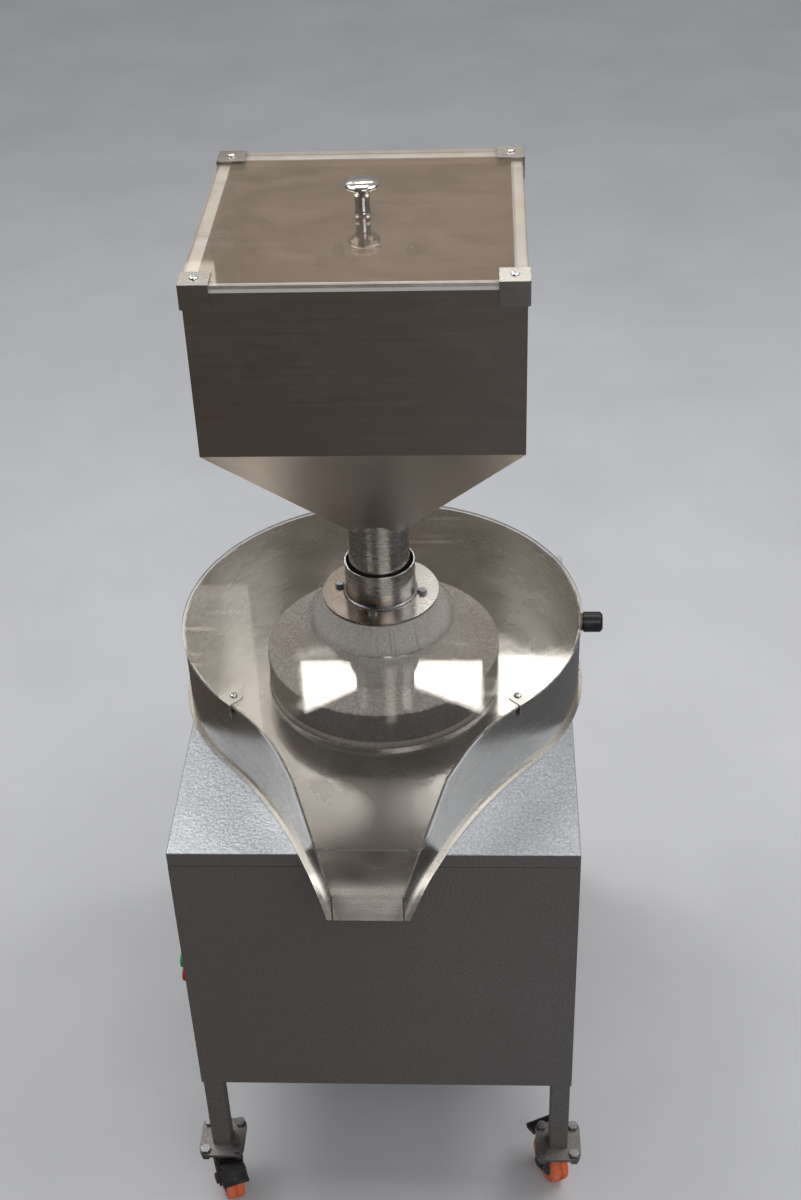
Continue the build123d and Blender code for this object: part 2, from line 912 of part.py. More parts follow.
cover_strip = side_profile(
    [
        (big, rim_z),
        (-spout_slope_start, rim_z),
        (-spout_slope_start - 1, cover_side(spout_slope_start + 1, lift)),
        (-cover_tongue, cover_side(cover_tongue, lift)),
        (-cover_tongue, cover_side(cover_tongue, lift + sheet_up)),
        (-spout_slope_start - 1, rim_z + cover_thickness),
        (big, rim_z + cover_thickness),
    ],
    -big,
    big,
)
cover_outline = bowl_outline(shoulder_top_radius, cover_overhang, reach=cover_tongue, z=rim_z - 80)
cover_blank = extrude(cover_outline, 100, dir=(0, 0, 1))
front_corners = cover_blank.edges().filter_by(Axis.Z).group_by(Axis.Y)[0]
cover_blank = fillet(front_corners, tongue_corner)
cover = cover_strip & cover_blank
cover -= disc(cover_hole_radius, rim_z - 10, rim_z + 10)

# Tabs that hook the cover over the bowl's wall, each with one screw and nut
tab_inner = bowl_radius + cover_overhang + 0.3
tab_screw_radius = bowl_radius - 11.0
tabs = []
tab_screws = []
shoulder_x, shoulder_y = shoulder_centre(shoulder_top_radius)
tab_swing = degrees(atan2(shoulder_x, -shoulder_y))
tab_swing += degrees((tab_width / 2 + tab_from_shoulder) / bowl_radius)
for angle in (-90 - tab_swing, -90 + tab_swing, 90):
    turn = Rot(0, 0, angle)
    leg = block(
        tab_inner,
        tab_inner + tab_sheet,
        -tab_width / 2,
        tab_width / 2,
        rim_z + cover_thickness - tab_drop,
        rim_z + cover_thickness + tab_sheet,
    )
    top = block(
        tab_inner + tab_sheet - tab_length,
        tab_inner + tab_sheet,
        -tab_width / 2,
        tab_width / 2,
        rim_z + cover_thickness,
        rim_z + cover_thickness + tab_sheet,
    )
    nose = top.edges().filter_by(Axis.Z).group_by(Axis.X)[0]
    top = fillet(nose, tab_width / 2 - 1)
    hole = disc(tab_screw / 2, rim_z - 20, rim_z + 20, tab_screw_radius)
    tabs.append(turn * (leg + top - hole))
    cover -= turn * hole
    grip_length_z = cover_thickness + tab_sheet
    screw = pan_screw(tab_screw, grip_length_z + 5) + nut(tab_screw, -grip_length_z)
    tab_screws.append(turn * at(tab_screw_radius, 0, rim_z + grip_length_z) * screw)
write("bowl_cover", cover)
write("cover_tabs", *tabs)
write("cover_tab_screws", *tab_screws)

# Grip: a black knob on the bowl's right side, cut to sit on the round wall
grip_z = top_z + grip_height
grip_tip = bowl_radius + grip_length
knob = Location((0, 0, grip_z), (0, 90, 0)) * turned(
    [
        (0, bowl_radius - 5),
        (grip_collar_radius, bowl_radius - 5),
        (grip_collar_radius, bowl_radius + grip_collar),
        (grip_radius, bowl_radius + grip_collar),
        (grip_radius, grip_tip - 3),
        (grip_radius - 3, grip_tip),
        (0, grip_tip),
    ]
)
write("bowl_grip", knob - disc(bowl_radius, grip_z - 30, grip_z + 30))


def square_cone(half_width, z, depth):
    """A square pyramid's upper slice, hanging down from Z = z."""
    slab = extrude(Rectangle(2 * half_width, 2 * half_width), depth, taper=cone_angle)
    return Location((0, 0, z), (180, 0, 0)) * slab


# Hopper: a box welded over an inverted pyramid, with a flat frame round its rim
half_hopper = hopper_width / 2
cone_run = tan(radians(cone_angle))
cone_end_half = neck_radius * 0.7
cone_height = (half_hopper - cone_end_half) / cone_run
cone_end_z = hopper_bend_z - cone_height
inner_half = half_hopper - hopper_sheet
inner_gap = hopper_sheet / sin(radians(cone_angle)) - hopper_sheet / cone_run
hopper_cone = square_cone(half_hopper, hopper_bend_z, cone_height)
hopper_cone -= square_cone(inner_half - inner_gap * cone_run, hopper_bend_z, cone_height - 12)
hopper_cone -= disc(neck_radius - neck_wall, cone_end_z - 5, cone_end_z + 60)
rim_frame_z = hopper_rim_z - hopper_sheet
hopper_walls = block(-half_hopper, half_hopper, -half_hopper, half_hopper, hopper_bend_z, rim_frame_z)
hopper_walls -= block(-inner_half, inner_half, -inner_half, inner_half, hopper_bend_z - 1, rim_frame_z + 1)
rim_half = half_hopper - hopper_rim
rim_frame = block(-half_hopper, half_hopper, -half_hopper, half_hopper, rim_frame_z, hopper_rim_z)
rim_frame -= block(-rim_half, rim_half, -rim_half, rim_half, rim_frame_z - 1, hopper_rim_z + 1)

neck = ring(neck_radius, neck_radius - neck_wall, neck_foot_z, cone_end_z + 60)
write("hopper_neck", neck - square_cone(half_hopper, hopper_bend_z, cone_height))

# Hopper post behind the bowl, with the arm and plate that hold the hopper
post_y = rear_y + post / 2
post_bolt_z = (post_foot_z + 40, panel_top_z - 30)
hopper_post = at(0, post_y, post_foot_z) * square_tube(post_top_z - post_foot_z, post)
for z in post_bolt_z:
    spot = Location((0, post_y, z), (90, 0, 0))
    hopper_post -= spot * Cylinder(arm_bolt / 2, 2 * post)
plate_y = half_hopper
arm_plate = block(
    -arm_plate_width / 2,
    arm_plate_width / 2,
    plate_y,
    plate_y + arm_plate_thickness,
    arm_z - arm_plate_height / 2,
    arm_z + arm_plate_height / 2,
)
arm_start = plate_y + arm_plate_thickness
arm = Location((0, arm_start, arm_z), (-90, 0, 0)) * square_tube(rear_y - arm_start, post)
arm_bracket = arm_plate + arm
arm_bolts = []
for sx in (-1, 1):
    for sz in (-1, 1):
        x = sx * (arm_plate_width / 2 - 15)
        z = arm_z + sz * (arm_plate_height / 2 - 15)
        hole = Location((x, plate_y, z), (90, 0, 0)) * Cylinder(arm_bolt / 2, 30)
        arm_bracket -= hole
        hopper_walls -= hole
        bolt = hex_bolt(arm_bolt, arm_plate_thickness + hopper_sheet + 8, washer=False)
        bolt += nut(arm_bolt, -arm_plate_thickness - hopper_sheet)
        arm_bolts.append(Location((x, arm_start, z), (-90, 0, 0)) * bolt)
write("hopper", hopper_walls, hopper_cone, rim_frame)
write("hopper_arm", arm_bracket)
write("hopper_post", hopper_post)
for z in post_bolt_z:
    bolt = hex_bolt(arm_bolt, post, washer=False)
    arm_bolts.append(Location((0, rear_y + post, z), (-90, 0, 0)) * bolt)
write("post_bolts", *arm_bolts)

# Hopper lid: a clear sheet with four corner caps and a turned knob
lid_half = half_hopper + lid_overhang
lid = block(-lid_half, lid_half, -lid_half, lid_half, hopper_rim_z, lid_z)
lid = fillet(lid.edges().filter_by(Axis.Z), 3)
caps = []
lid_screws = []
cap_out = lid_half + corner_cap_sheet
cap_in = lid_half - corner_cap
screw_inset = 14.0
for k in range(4):
    cap = block(cap_in, cap_out, cap_in, cap_out, lid_z - corner_cap_drop, lid_z + corner_cap_sheet)
    cap = fillet(cap.edges().filter_by(Axis.Z).group_by(SortBy.DISTANCE)[-1], 3)
    cap -= block(cap_in - 1, lid_half, cap_in - 1, lid_half, lid_z - corner_cap_drop - 1, lid_z)
    spot = lid_half - screw_inset
    hole = disc(lid_screw / 2, lid_z - 20, lid_z + 20, spot, spot)
    turn = Rot(0, 0, 90 * k)
    caps.append(turn * (cap - hole))
    lid -= turn * hole
    screw = pan_screw(lid_screw, corner_cap_sheet + lid_thickness)
    lid_screws.append(turn * at(spot, spot, lid_z + corner_cap_sheet) * screw)
write("hopper_lid", lid)
write("lid_corner_caps", *caps)
write("lid_screws", *lid_screws)

write(
    "lid_knob",
    turned(
        [
            (0, lid_z),
            (knob_stem_radius, lid_z),
            (knob_stem_radius, lid_z + 0.3 * knob_height),
            (knob_stem_radius + 0.6, lid_z + 0.55 * knob_height),
            (knob_stem_radius + 2, lid_z + 0.7 * knob_height),
            (knob_cap_radius - 1.5, lid_z + 0.8 * knob_height),
            (knob_cap_radius, lid_z + 0.86 * knob_height),
            (knob_cap_radius - 1.5, lid_z + 0.92 * knob_height),
            (0.6 * knob_cap_radius, lid_z + 0.98 * knob_height),
            (0, lid_z + knob_height),
        ]
    ),
)

# Switch: a case on the left panel with a start button over a stop button
switch_face = -half_width
case = block(
    switch_face - switch_case_depth,
    switch_face,
    switch_y - switch_width / 2,
    switch_y + switch_width / 2,
    switch_z - switch_height / 2,
    switch_z + switch_height / 2,
)
case = fillet(case.edges().filter_by(Axis.X), 4)
spigot = block(
    switch_face,
    switch_face + switch_spigot_depth,
    switch_y - switch_width / 2 + switch_spigot_inset,
    switch_y + switch_width / 2 - switch_spigot_inset,
    switch_z - switch_height / 2 + switch_spigot_inset,
    switch_z + switch_height / 2 - switch_spigot_inset,
)
switch = case + spigot
button_back = -switch_case_depth + 14.0
for name, side in (("start_button", 1), ("stop_button", -1)):
    spot = Location((switch_face, switch_y, switch_z + side * button_pitch / 2), (0, -90, 0))
    button = disc(button_radius, -button_back, switch_case_depth + button_proud)
    button = chamfer(button.edges().group_by(Axis.Z)[-1], 1.5)
    bore = disc(
        button_radius + button_bore_clearance,
        -button_back - button_travel - 0.5,
        switch_case_depth + 1,
    )
    switch -= spot * bore
    write(name, spot * button)
write("switch_case", switch)

# Cable gland through the rear panel
gland_axis = Location((gland_x, rear_y, gland_z), (-90, 0, 0))
gland = disc(gland_radius - 3, -12, 0)
gland += extrude(RegularPolygon(gland_radius, 6), gland_nut)
gland += turned(
    [
        (0, gland_nut),
        (gland_radius - 2, gland_nut),
        (gland_radius - 2, gland_length - 8),
        (gland_bore_radius + 2.5, gland_length),
        (0, gland_length),
    ]
)
gland += at(0, 0, -sheet - gland_nut) * extrude(RegularPolygon(gland_radius, 6), gland_nut)
gland -= disc(gland_bore_radius, -20, gland_length + 1)
write("cable_gland", gland_axis * gland)

# Casters, drawn trailing towards -Y about their own swivel axis
axle_z = wheel_diameter / 2
race_top_z = caster_height - caster_plate_thickness
race_z = race_top_z - 4.0
fork_top_z = race_z - race_gap
fork_plate_z = fork_top_z - 6.0
cheek_in = wheel_width / 2 + fork_gap
cheek_out = cheek_in + fork_cheek


def caster_top():
    """Top plate with the fixed race and the kingpin."""
    top = at(0, 0, race_top_z) * pad_plate(caster_plate_thickness)
    top += disc(race_diameter / 2, race_z, race_top_z)
    top += disc(kingpin / 2, fork_plate_z - 4, race_top_z)
    top += disc(kingpin / 2 + 3, fork_plate_z - 4, fork_plate_z - race_gap)
    return top


def caster_fork():
    """Fork head under the race, two cheeks down to the axle, and the axle with its nuts."""
    head = disc(race_diameter / 2 + 1, fork_plate_z, fork_top_z)
    head += block(-cheek_out, cheek_out, -caster_trail - 4, 16, fork_plate_z, fork_plate_z + 3)
    head -= disc(kingpin / 2 + running_clearance, fork_plate_z - 1, fork_top_z + 1)
    boss = 12.0
    cheek_shape = make_hull(
        (at(-caster_trail, axle_z) * Circle(boss)).edges()
        + (at(-caster_trail - 4, fork_plate_z + 1) * Rectangle(16, 4)).edges()
        + (at(8, fork_plate_z + 1) * Rectangle(14, 4)).edges()
    )
    cheek = extrude(Plane.YZ * cheek_shape, fork_cheek, dir=(1, 0, 0))
    fork = head + at(cheek_in) * cheek + at(-cheek_out) * cheek
    axle_axis = Location((0, -caster_trail, axle_z), (0, 90, 0))
    axle_radius = wheel_bore / 2 - running_clearance
    fork -= axle_axis * Cylinder(axle_radius, 4 * cheek_out)
    axle = axle_axis * Cylinder(axle_radius, 2 * cheek_out + 8)
    for side in (1, -1):
        end = Location((side * cheek_out, -caster_trail, axle_z), (0, side * 90, 0))
        axle += end * extrude(RegularPolygon(7.5, 6), 3.5)
    return fork, axle


def caster_wheel():
    """Soft wheel with a groove round the middle of its tread."""
    half = wheel_width / 2
    radius = wheel_diameter / 2
    groove = wheel_groove / 2
    profile = [
        (wheel_bore / 2, -half),
        (radius - 12, -half),
        (radius - 10, -half + 2),
        (radius - 3, -half + 3),
        (radius, -half + 7),
        (radius, -groove),
        (radius - 2.5, -groove),
        (radius - 2.5, groove),
        (radius, groove),
        (radius, half - 7),
        (radius - 3, half - 3),
        (radius - 10, half - 2),
        (radius - 12, half),
        (wheel_bore / 2, half),
    ]
    return Location((0, -caster_trail, axle_z), (0, 90, 0)) * turned(profile)


pedal_pivot_y = -caster_trail - 6.0
pedal_pivot_z = fork_plate_z - 5.6
pedal_pin = 2.0
pedal_barrel = 3.6
pedal_side = cheek_in - 0.5
pedal_pin_axis = Location((0, pedal_pivot_y, pedal_pivot_z), (0, 90, 0))


def caster_pedal():
    """Brake pedal: an arm pinned between the cheeks, with a wide pad that ends in a lip."""
    arm = side_profile(
        [
            (pedal_pivot_y, pedal_pivot_z + pedal_barrel),
            (pedal_pivot_y - 10, pedal_pivot_z + pedal_barrel),
            (pedal_pivot_y - 18, pedal_pivot_z - 0.5),
            (pedal_pivot_y - 18, pedal_pivot_z - 4),
            (pedal_pivot_y - 9, pedal_pivot_z),
            (pedal_pivot_y, pedal_pivot_z - 1),
        ],
        -pedal_side,
        pedal_side,
    )
    pad = side_profile(
        [
            (pedal_pivot_y - 13, pedal_pivot_z + 2.1),
            (pedal_pivot_y - 31, pedal_pivot_z - 7),
            (pedal_pivot_y - 33, pedal_pivot_z - 3.5),
            (pedal_pivot_y - 36, pedal_pivot_z - 5),
            (pedal_pivot_y - 33, pedal_pivot_z - 11.5),
            (pedal_pivot_y - 13, pedal_pivot_z - 1.6),
        ],
        -cheek_out,
        cheek_out,
    )
    barrel = pedal_pin_axis * Cylinder(pedal_barrel, 2 * pedal_side)
    pin = pedal_pin_axis * Cylinder(pedal_pin, 2 * cheek_out + 3)
    return arm + pad + barrel + pin


swivels = {
    "front_left": (leg_places[0], front_left_swivel, True),
    "front_right": (leg_places[1], front_right_swivel, True),
    "rear_left": (leg_places[2], rear_left_swivel, False),
    "rear_right": (leg_places[3], rear_right_swivel, False),
}
tops = []
caster_bolts = []
for name, (place, angle, braked) in swivels.items():
    spot = at(place[0], place[1]) * Rot(0, 0, angle)
    tops.append(at(place[0], place[1]) * caster_top())
    fork, axle = caster_fork()
    if braked:
        fork -= pedal_pin_axis * Cylinder(pedal_pin + running_clearance, 4 * cheek_out)
    write(name + "_caster_fork", spot * fork, spot * axle)
    write(name + "_caster_wheel", spot * caster_wheel())
    if braked:
        write(name + "_brake_pedal", spot * caster_pedal())
    under = pad_thickness + caster_plate_thickness
    for x, y in pad_holes():
        bolt = hex_bolt(caster_bolt, under + 0.8 * caster_bolt, washer=False)
        bolt += nut(caster_bolt, -under)
        caster_bolts.append(at(place[0] + x, place[1] + y, leg_foot_z) * bolt)
write("caster_plates", *tops)
write("caster_bolts", *caster_bolts)
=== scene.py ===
"""Stone mill: finishes, worked surfaces and small detail on the measured frame."""

import json
import math

import bmesh
import bpy
from bpy.props import FloatProperty, FloatVectorProperty, IntProperty, PointerProperty
from mathutils import Matrix, Vector, noise


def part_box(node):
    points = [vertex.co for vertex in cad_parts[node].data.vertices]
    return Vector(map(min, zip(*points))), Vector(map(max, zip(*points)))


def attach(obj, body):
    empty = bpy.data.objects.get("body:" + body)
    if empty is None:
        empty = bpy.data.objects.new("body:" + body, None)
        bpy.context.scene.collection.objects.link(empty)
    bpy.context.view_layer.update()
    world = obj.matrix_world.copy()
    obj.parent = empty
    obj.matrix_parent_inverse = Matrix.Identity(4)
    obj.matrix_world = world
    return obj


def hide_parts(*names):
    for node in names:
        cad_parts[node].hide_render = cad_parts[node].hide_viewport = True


bl_info = {
    "name": "Stone mill",
    "version": (1, 0, 0),
    "blender": (4, 5, 0),
    "location": "3D View > Sidebar > Stone mill",
    "description": "Dresses a stone mill on its measured frame",
    "category": "Object",
}

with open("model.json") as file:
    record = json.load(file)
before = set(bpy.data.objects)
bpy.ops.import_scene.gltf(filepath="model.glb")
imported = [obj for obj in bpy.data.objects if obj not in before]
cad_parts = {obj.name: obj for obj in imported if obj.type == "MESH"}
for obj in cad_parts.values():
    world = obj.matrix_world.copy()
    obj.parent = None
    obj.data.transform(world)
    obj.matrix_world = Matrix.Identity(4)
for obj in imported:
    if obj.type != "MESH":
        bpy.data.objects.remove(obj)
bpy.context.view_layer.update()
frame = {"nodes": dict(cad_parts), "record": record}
MM = 0.001
PREFIX = "mill_"
RECORD = frame["record"]
BODY_OF = {node: body for body, nodes in RECORD["behaviour"]["bodies"].items() for node in nodes}
SLOT_OF = {row["node"]: row["material_slot"] for row in RECORD["subparts"]}
JOINTS = {joint["name"]: joint for joint in RECORD["behaviour"]["joints"]}
SPINDLE = Vector(JOINTS["runner_spin"]["pos_m"])


def settings():
    return bpy.context.scene.mill_sizes


def colours():
    return bpy.context.scene.mill_colours


def box(node):
    """Lowest and highest corner of a node as vectors."""
    low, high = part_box(node)
    return Vector(low), Vector(high)


# Sizes and colours a user would change


class MillSizes(bpy.types.PropertyGroup):
    bowl_radius: FloatProperty(
        name="Bowl radius", description="Outer radius of the bowl's wall", default=0.251, unit="LENGTH"
    )
    bowl_sheet: FloatProperty(
        name="Bowl sheet", description="Thickness of the bowl's sheet", default=0.002, unit="LENGTH"
    )
    spout_half_width: FloatProperty(
        name="Spout half width", description="Half the spout's width at its tip", default=0.041, unit="LENGTH"
    )
    spout_reach: FloatProperty(
        name="Spout reach", description="From the spindle to the spout's tip", default=0.417, unit="LENGTH"
    )
    spout_angle: FloatProperty(
        name="Spout angle",
        description="How far each side of the spout leans from straight ahead",
        default=math.radians(24.0),
        subtype="ANGLE",
    )
    shoulder_top: FloatProperty(
        name="Shoulder at the rim", description="Radius of the hollow shoulder at the rim", default=0.26,
        unit="LENGTH",
    )
    shoulder_foot: FloatProperty(
        name="Shoulder at the foot", description="Radius of the hollow shoulder at the foot", default=0.6,
        unit="LENGTH",
    )
    slope_start: FloatProperty(
        name="Slope start", description="From the spindle to where the wall's top runs down", default=0.312,
        unit="LENGTH",
    )
    spout_end_height: FloatProperty(
        name="Spout end height", description="Height of the wall at the spout's tip", default=0.022,
        unit="LENGTH",
    )
    lip_bend: FloatProperty(
        name="Lip bend", description="From the spindle to where the floor bends down", default=0.378,
        unit="LENGTH",
    )
    lip_angle: FloatProperty(
        name="Lip angle", description="How far the lip is bent down", default=math.radians(21.5),
        subtype="ANGLE",
    )
    lip_roll: FloatProperty(
        name="Lip roll", description="How far each side of the bend the lip's roll runs", default=0.02,
        unit="LENGTH",
    )
    edge: FloatProperty(
        name="Edge", description="Rounding of worked edges", default=0.0004, unit="LENGTH", precision=4
    )
    groove_depth: FloatProperty(
        name="Chisel depth", description="Depth of the chisel marks on the stones", default=0.0011,
        unit="LENGTH", precision=4,
    )
    groove_sectors: IntProperty(
        name="Chisel sectors", description="Groups of parallel chisel marks round the runner", default=14
    )
    weld_ripples: IntProperty(
        name="Weld ripples", description="Ripples in the weld round the feed collar", default=64
    )


class MillColours(bpy.types.PropertyGroup):
    stainless: FloatVectorProperty(
        name="Stainless", description="Bowl and collar", default=(0.56, 0.54, 0.51), subtype="COLOR"
    )
    # Partly painted reflection: the brown tint of this steel stands in for the brown room that it mirrors.
    hopper: FloatVectorProperty(
        name="Hopper", description="Brushed hopper sheet", default=(0.50, 0.45, 0.41), subtype="COLOR"
    )
    # Painted light: the cabinet's paint as it looks lit from above, used on the top face.
    paint: FloatVectorProperty(
        name="Cabinet paint", description="Hammertone paint", default=(0.50, 0.53, 0.57), subtype="COLOR"
    )
    # Painted shade: the same paint darkened as it looks on faces turned from the lamps, used on the panels, the frame
    # and the cabinet below its top face.
    shaded_paint: FloatVectorProperty(
        name="Panel paint", description="Hammertone paint of the panels", default=(0.27, 0.25, 0.24),
        subtype="COLOR",
    )
    stone: FloatVectorProperty(
        name="Millstone", description="Cast millstone", default=(0.34, 0.31, 0.28), subtype="COLOR"
    )
    tread: FloatVectorProperty(
        name="Tread", description="Caster tread", default=(0.80, 0.16, 0.05), subtype="COLOR"
    )
    floor: FloatVectorProperty(
        name="Floor", description="Floor and backdrop", default=(0.62, 0.62, 0.63), subtype="COLOR"
    )


# Node trees for finishes


class Finish:
    """A material whose nodes are added one by one, on object coordinates."""

    def __init__(self, name, **values):
        self.material = bpy.data.materials.new(PREFIX + name)
        self.material.use_nodes = True
        self.tree = self.material.node_tree
        self.shader = self.tree.nodes["Principled BSDF"]
        self.place = self.tree.nodes.new("ShaderNodeTexCoord").outputs["Object"]
        for socket, value in values.items():
            self.shader.inputs[socket.replace("_", " ")].default_value = value

    def link(self, start, end):
        self.tree.links.new(start, end)

    def mapped(self, scale, turn=(0, 0, 0)):
        node = self.tree.nodes.new("ShaderNodeMapping")
        node.inputs["Scale"].default_value = scale
        node.inputs["Rotation"].default_value = turn
        self.link(self.place, node.inputs["Vector"])
        return node.outputs["Vector"]

    def noise(self, scale, detail=4.0, roughness=0.55, place=None, distortion=0.0):
        node = self.tree.nodes.new("ShaderNodeTexNoise")
        node.inputs["Scale"].default_value = scale
        node.inputs["Detail"].default_value = detail
        node.inputs["Roughness"].default_value = roughness
        node.inputs["Distortion"].default_value = distortion
        self.link(place or self.place, node.inputs["Vector"])
        return node.outputs["Fac"]

    def cells(self, scale, feature="F1", randomness=1.0, place=None):
        node = self.tree.nodes.new("ShaderNodeTexVoronoi")
        node.feature = feature
        node.inputs["Scale"].default_value = scale
        node.inputs["Randomness"].default_value = randomness
        self.link(place or self.place, node.inputs["Vector"])
        return node.outputs["Distance"]

    def ramp(self, factor, *stops):
        """Stops are (place, grey) or (place, (r, g, b))."""
        node = self.tree.nodes.new("ShaderNodeValToRGB")
        ramp = node.color_ramp
        while len(ramp.elements) < len(stops):
            ramp.elements.new(0.5)
        for element, (spot, value) in zip(ramp.elements, stops):
            element.position = spot
            rgb = (value,) * 3 if isinstance(value, (int, float)) else tuple(value)
            element.color = (*rgb, 1.0)
        self.link(factor, node.inputs["Fac"])
        return node.outputs["Color"]

    def mix(self, factor, first, second, kind="MIX"):
        """Mixes two colours. A factor or colour is a socket or a plain value."""
        node = self.tree.nodes.new("ShaderNodeMix")
        node.data_type = "RGBA"
        node.blend_type = kind
        for key, value in ((0, factor), (6, first), (7, second)):
            if isinstance(value, bpy.types.NodeSocket):
                self.link(value, node.inputs[key])
            elif key == 0:
                node.inputs[key].default_value = value
            else:
                node.inputs[key].default_value = (*tuple(value)[:3], 1.0)
        return node.outputs[2]

    def maths(self, kind, first, second=0.0):
        node = self.tree.nodes.new("ShaderNodeMath")
        node.operation = kind
        for key, value in ((0, first), (1, second)):
            if isinstance(value, bpy.types.NodeSocket):
                self.link(value, node.inputs[key])
            else:
                node.inputs[key].default_value = value
        return node.outputs[0]

    def separate(self, place=None):
        node = self.tree.nodes.new("ShaderNodeSeparateXYZ")
        self.link(place or self.place, node.inputs[0])
        return node.outputs

    def colour(self, socket):
        self.link(socket, self.shader.inputs["Base Color"])

    def roughness(self, socket):
        self.link(socket, self.shader.inputs["Roughness"])

    def alpha(self, socket):
        self.link(socket, self.shader.inputs["Alpha"])

    def bump(self, height, strength, distance):
        node = self.tree.nodes.new("ShaderNodeBump")
        node.inputs["Strength"].default_value = strength
        node.inputs["Distance"].default_value = distance
        self.link(height, node.inputs["Height"])
        last = self.shader.inputs["Normal"]
        if last.is_linked:
            self.link(last.links[0].from_socket, node.inputs["Normal"])
        self.link(node.outputs["Normal"], last)


def shade(colour, factor):
    return tuple(min(1.0, channel * factor) for channel in tuple(colour)[:3])


def brushed_sheet(name, colour, grain, rough=0.3, stain=0.16, satin=None):
    """Sheet with a brushed grain, faint stains, wiped marks and fine scratches.

    Above the given level the sheet is painted pale and less metallic: a painted highlight for the light that its top
    edge catches.
    """
    look = Finish(name, Metallic=1.0)
    streak = look.noise(1.0, 5.0, 0.6, look.mapped(grain))
    cloud = look.noise(5.0, 5.0, 0.6, distortion=0.6)
    wipe = look.noise(14.0, 3.0, 0.5, look.mapped((1.0, 1.0, 2.4), (0.3, 0.2, 0.5)), 1.2)
    fine = look.ramp(streak, (0.3, shade(colour, 0.92)), (0.7, shade(colour, 1.06)))
    worn = look.mix(look.ramp(cloud, (0.35, 0.0), (0.75, stain * 2)), fine, shade(colour, 0.7))
    marked = look.mix(look.ramp(wipe, (0.6, 0.0), (0.74, 0.12)), worn, shade(colour, 1.5))
    # Painted highlight: a pale, less metallic colour above the level, for the bright band along the rim.
    if satin is not None:
        above = look.maths("GREATER_THAN", look.separate()[2], satin)
        marked = look.mix(above, marked, (0.80, 0.77, 0.73))
        look.link(look.maths("SUBTRACT", 1.0, look.maths("MULTIPLY", above, 0.7)), look.shader.inputs["Metallic"])
    look.colour(marked)
    spread = look.mix(0.5, look.ramp(streak, (0.25, rough - 0.07), (0.75, rough + 0.1)),
                      look.ramp(wipe, (0.35, rough - 0.05), (0.75, rough + 0.12)))
    look.roughness(spread)
    look.bump(streak, 0.12, 0.0002)
    look.bump(cloud, 0.05, 0.002)
    return look.material


def hammertone(name, colour, rough=0.42, top=None, level=0.0):
    """Paint with a fine pebbled skin, dust in its hollows and rubbed spots.

    A second colour, for what lies above a level, is the same paint where it faces the lamps.
    """
    look = Finish(name, Metallic=0.7, Specular_IOR_Level=0.5)
    pebble = look.cells(300.0, "SMOOTH_F1")
    skin = look.noise(330.0, 4.0, 0.65)
    cloud = look.noise(4.0, 5.0, 0.65, distortion=0.4)
    spot = look.noise(60.0, 6.0, 0.7)

    def coat(tone, contrast):
        flake = look.ramp(skin, (0.36, shade(tone, 1 - contrast)), (0.64, shade(tone, 1 + contrast)))
        worn = look.mix(look.ramp(cloud, (0.4, 0.0), (0.7, 0.35)), flake, shade(tone, 0.82))
        return look.mix(look.ramp(spot, (0.62, 0.0), (0.72, 0.22)), worn, shade(tone, 1.35))

    paint = coat(colour, 0.16)
    # Painted light and painted shade: with a top colour the paint is split at the level, its lit copy above and its
    # darker first colour below.
    if top is not None:
        height = look.separate()[2]
        above = look.maths("GREATER_THAN", height, level)
        paint = look.mix(above, paint, coat(top, 0.26))
    look.colour(paint)
    look.roughness(look.ramp(cloud, (0.3, rough - 0.06), (0.7, rough + 0.12)))
    look.bump(pebble, 0.35, 0.0010)
    look.bump(skin, 0.30, 0.0008)
    return look.material


def millstone(name, colour, boss=None):
    """Cast millstone: fine grit, dark and pale grains, pits and flour in its hollows."""
    look = Finish(name, Specular_IOR_Level=0.25)
    grit = look.noise(260.0, 8.0, 0.75)
    patch = look.noise(18.0, 6.0, 0.65, distortion=0.5)
    grains = look.cells(420.0)
    pale = look.cells(300.0)
    body = look.ramp(grit, (0.3, shade(colour, 0.55)), (0.5, shade(colour, 1.0)), (0.72, shade(colour, 1.7)))
    tone = look.mix(look.ramp(patch, (0.35, 0.0), (0.7, 0.7)), body, (0.27, 0.22, 0.19))
    dark = look.mix(look.ramp(grains, (0.16, 0.75), (0.3, 0.0)), tone, (0.07, 0.06, 0.055))
    light = look.mix(look.ramp(pale, (0.1, 0.9), (0.2, 0.0)), dark, (0.78, 0.74, 0.68))
    final = light
    if boss:
        # The boss is paler and speckled above the shoulder, and the flank under it is painted dark: painted shade, as
        # the flank faces away from the light above.
        height = look.separate()[2]
        under = look.maths("LESS_THAN", height, boss - 0.004)
        light = look.mix(look.maths("MULTIPLY", under, 0.62), light, (0.05, 0.04, 0.038))
        above = look.ramp(look.maths("MULTIPLY", look.maths("SUBTRACT", height, boss), 60.0), (0.0, 0.0), (0.5, 1.0))
        speck = look.mix(look.ramp(look.cells(700.0), (0.15, 0.9), (0.32, 0.0)), light, (0.05, 0.045, 0.04))
        pale_boss = look.mix(0.35, speck, (0.62, 0.59, 0.53))
        final = look.mix(above, light, pale_boss)
    look.colour(final)
    look.roughness(look.ramp(grit, (0.3, 0.78), (0.7, 0.95)))
    look.bump(grit, 0.5, 0.0012)
    look.bump(grains, 0.3, 0.0006)
    return look.material


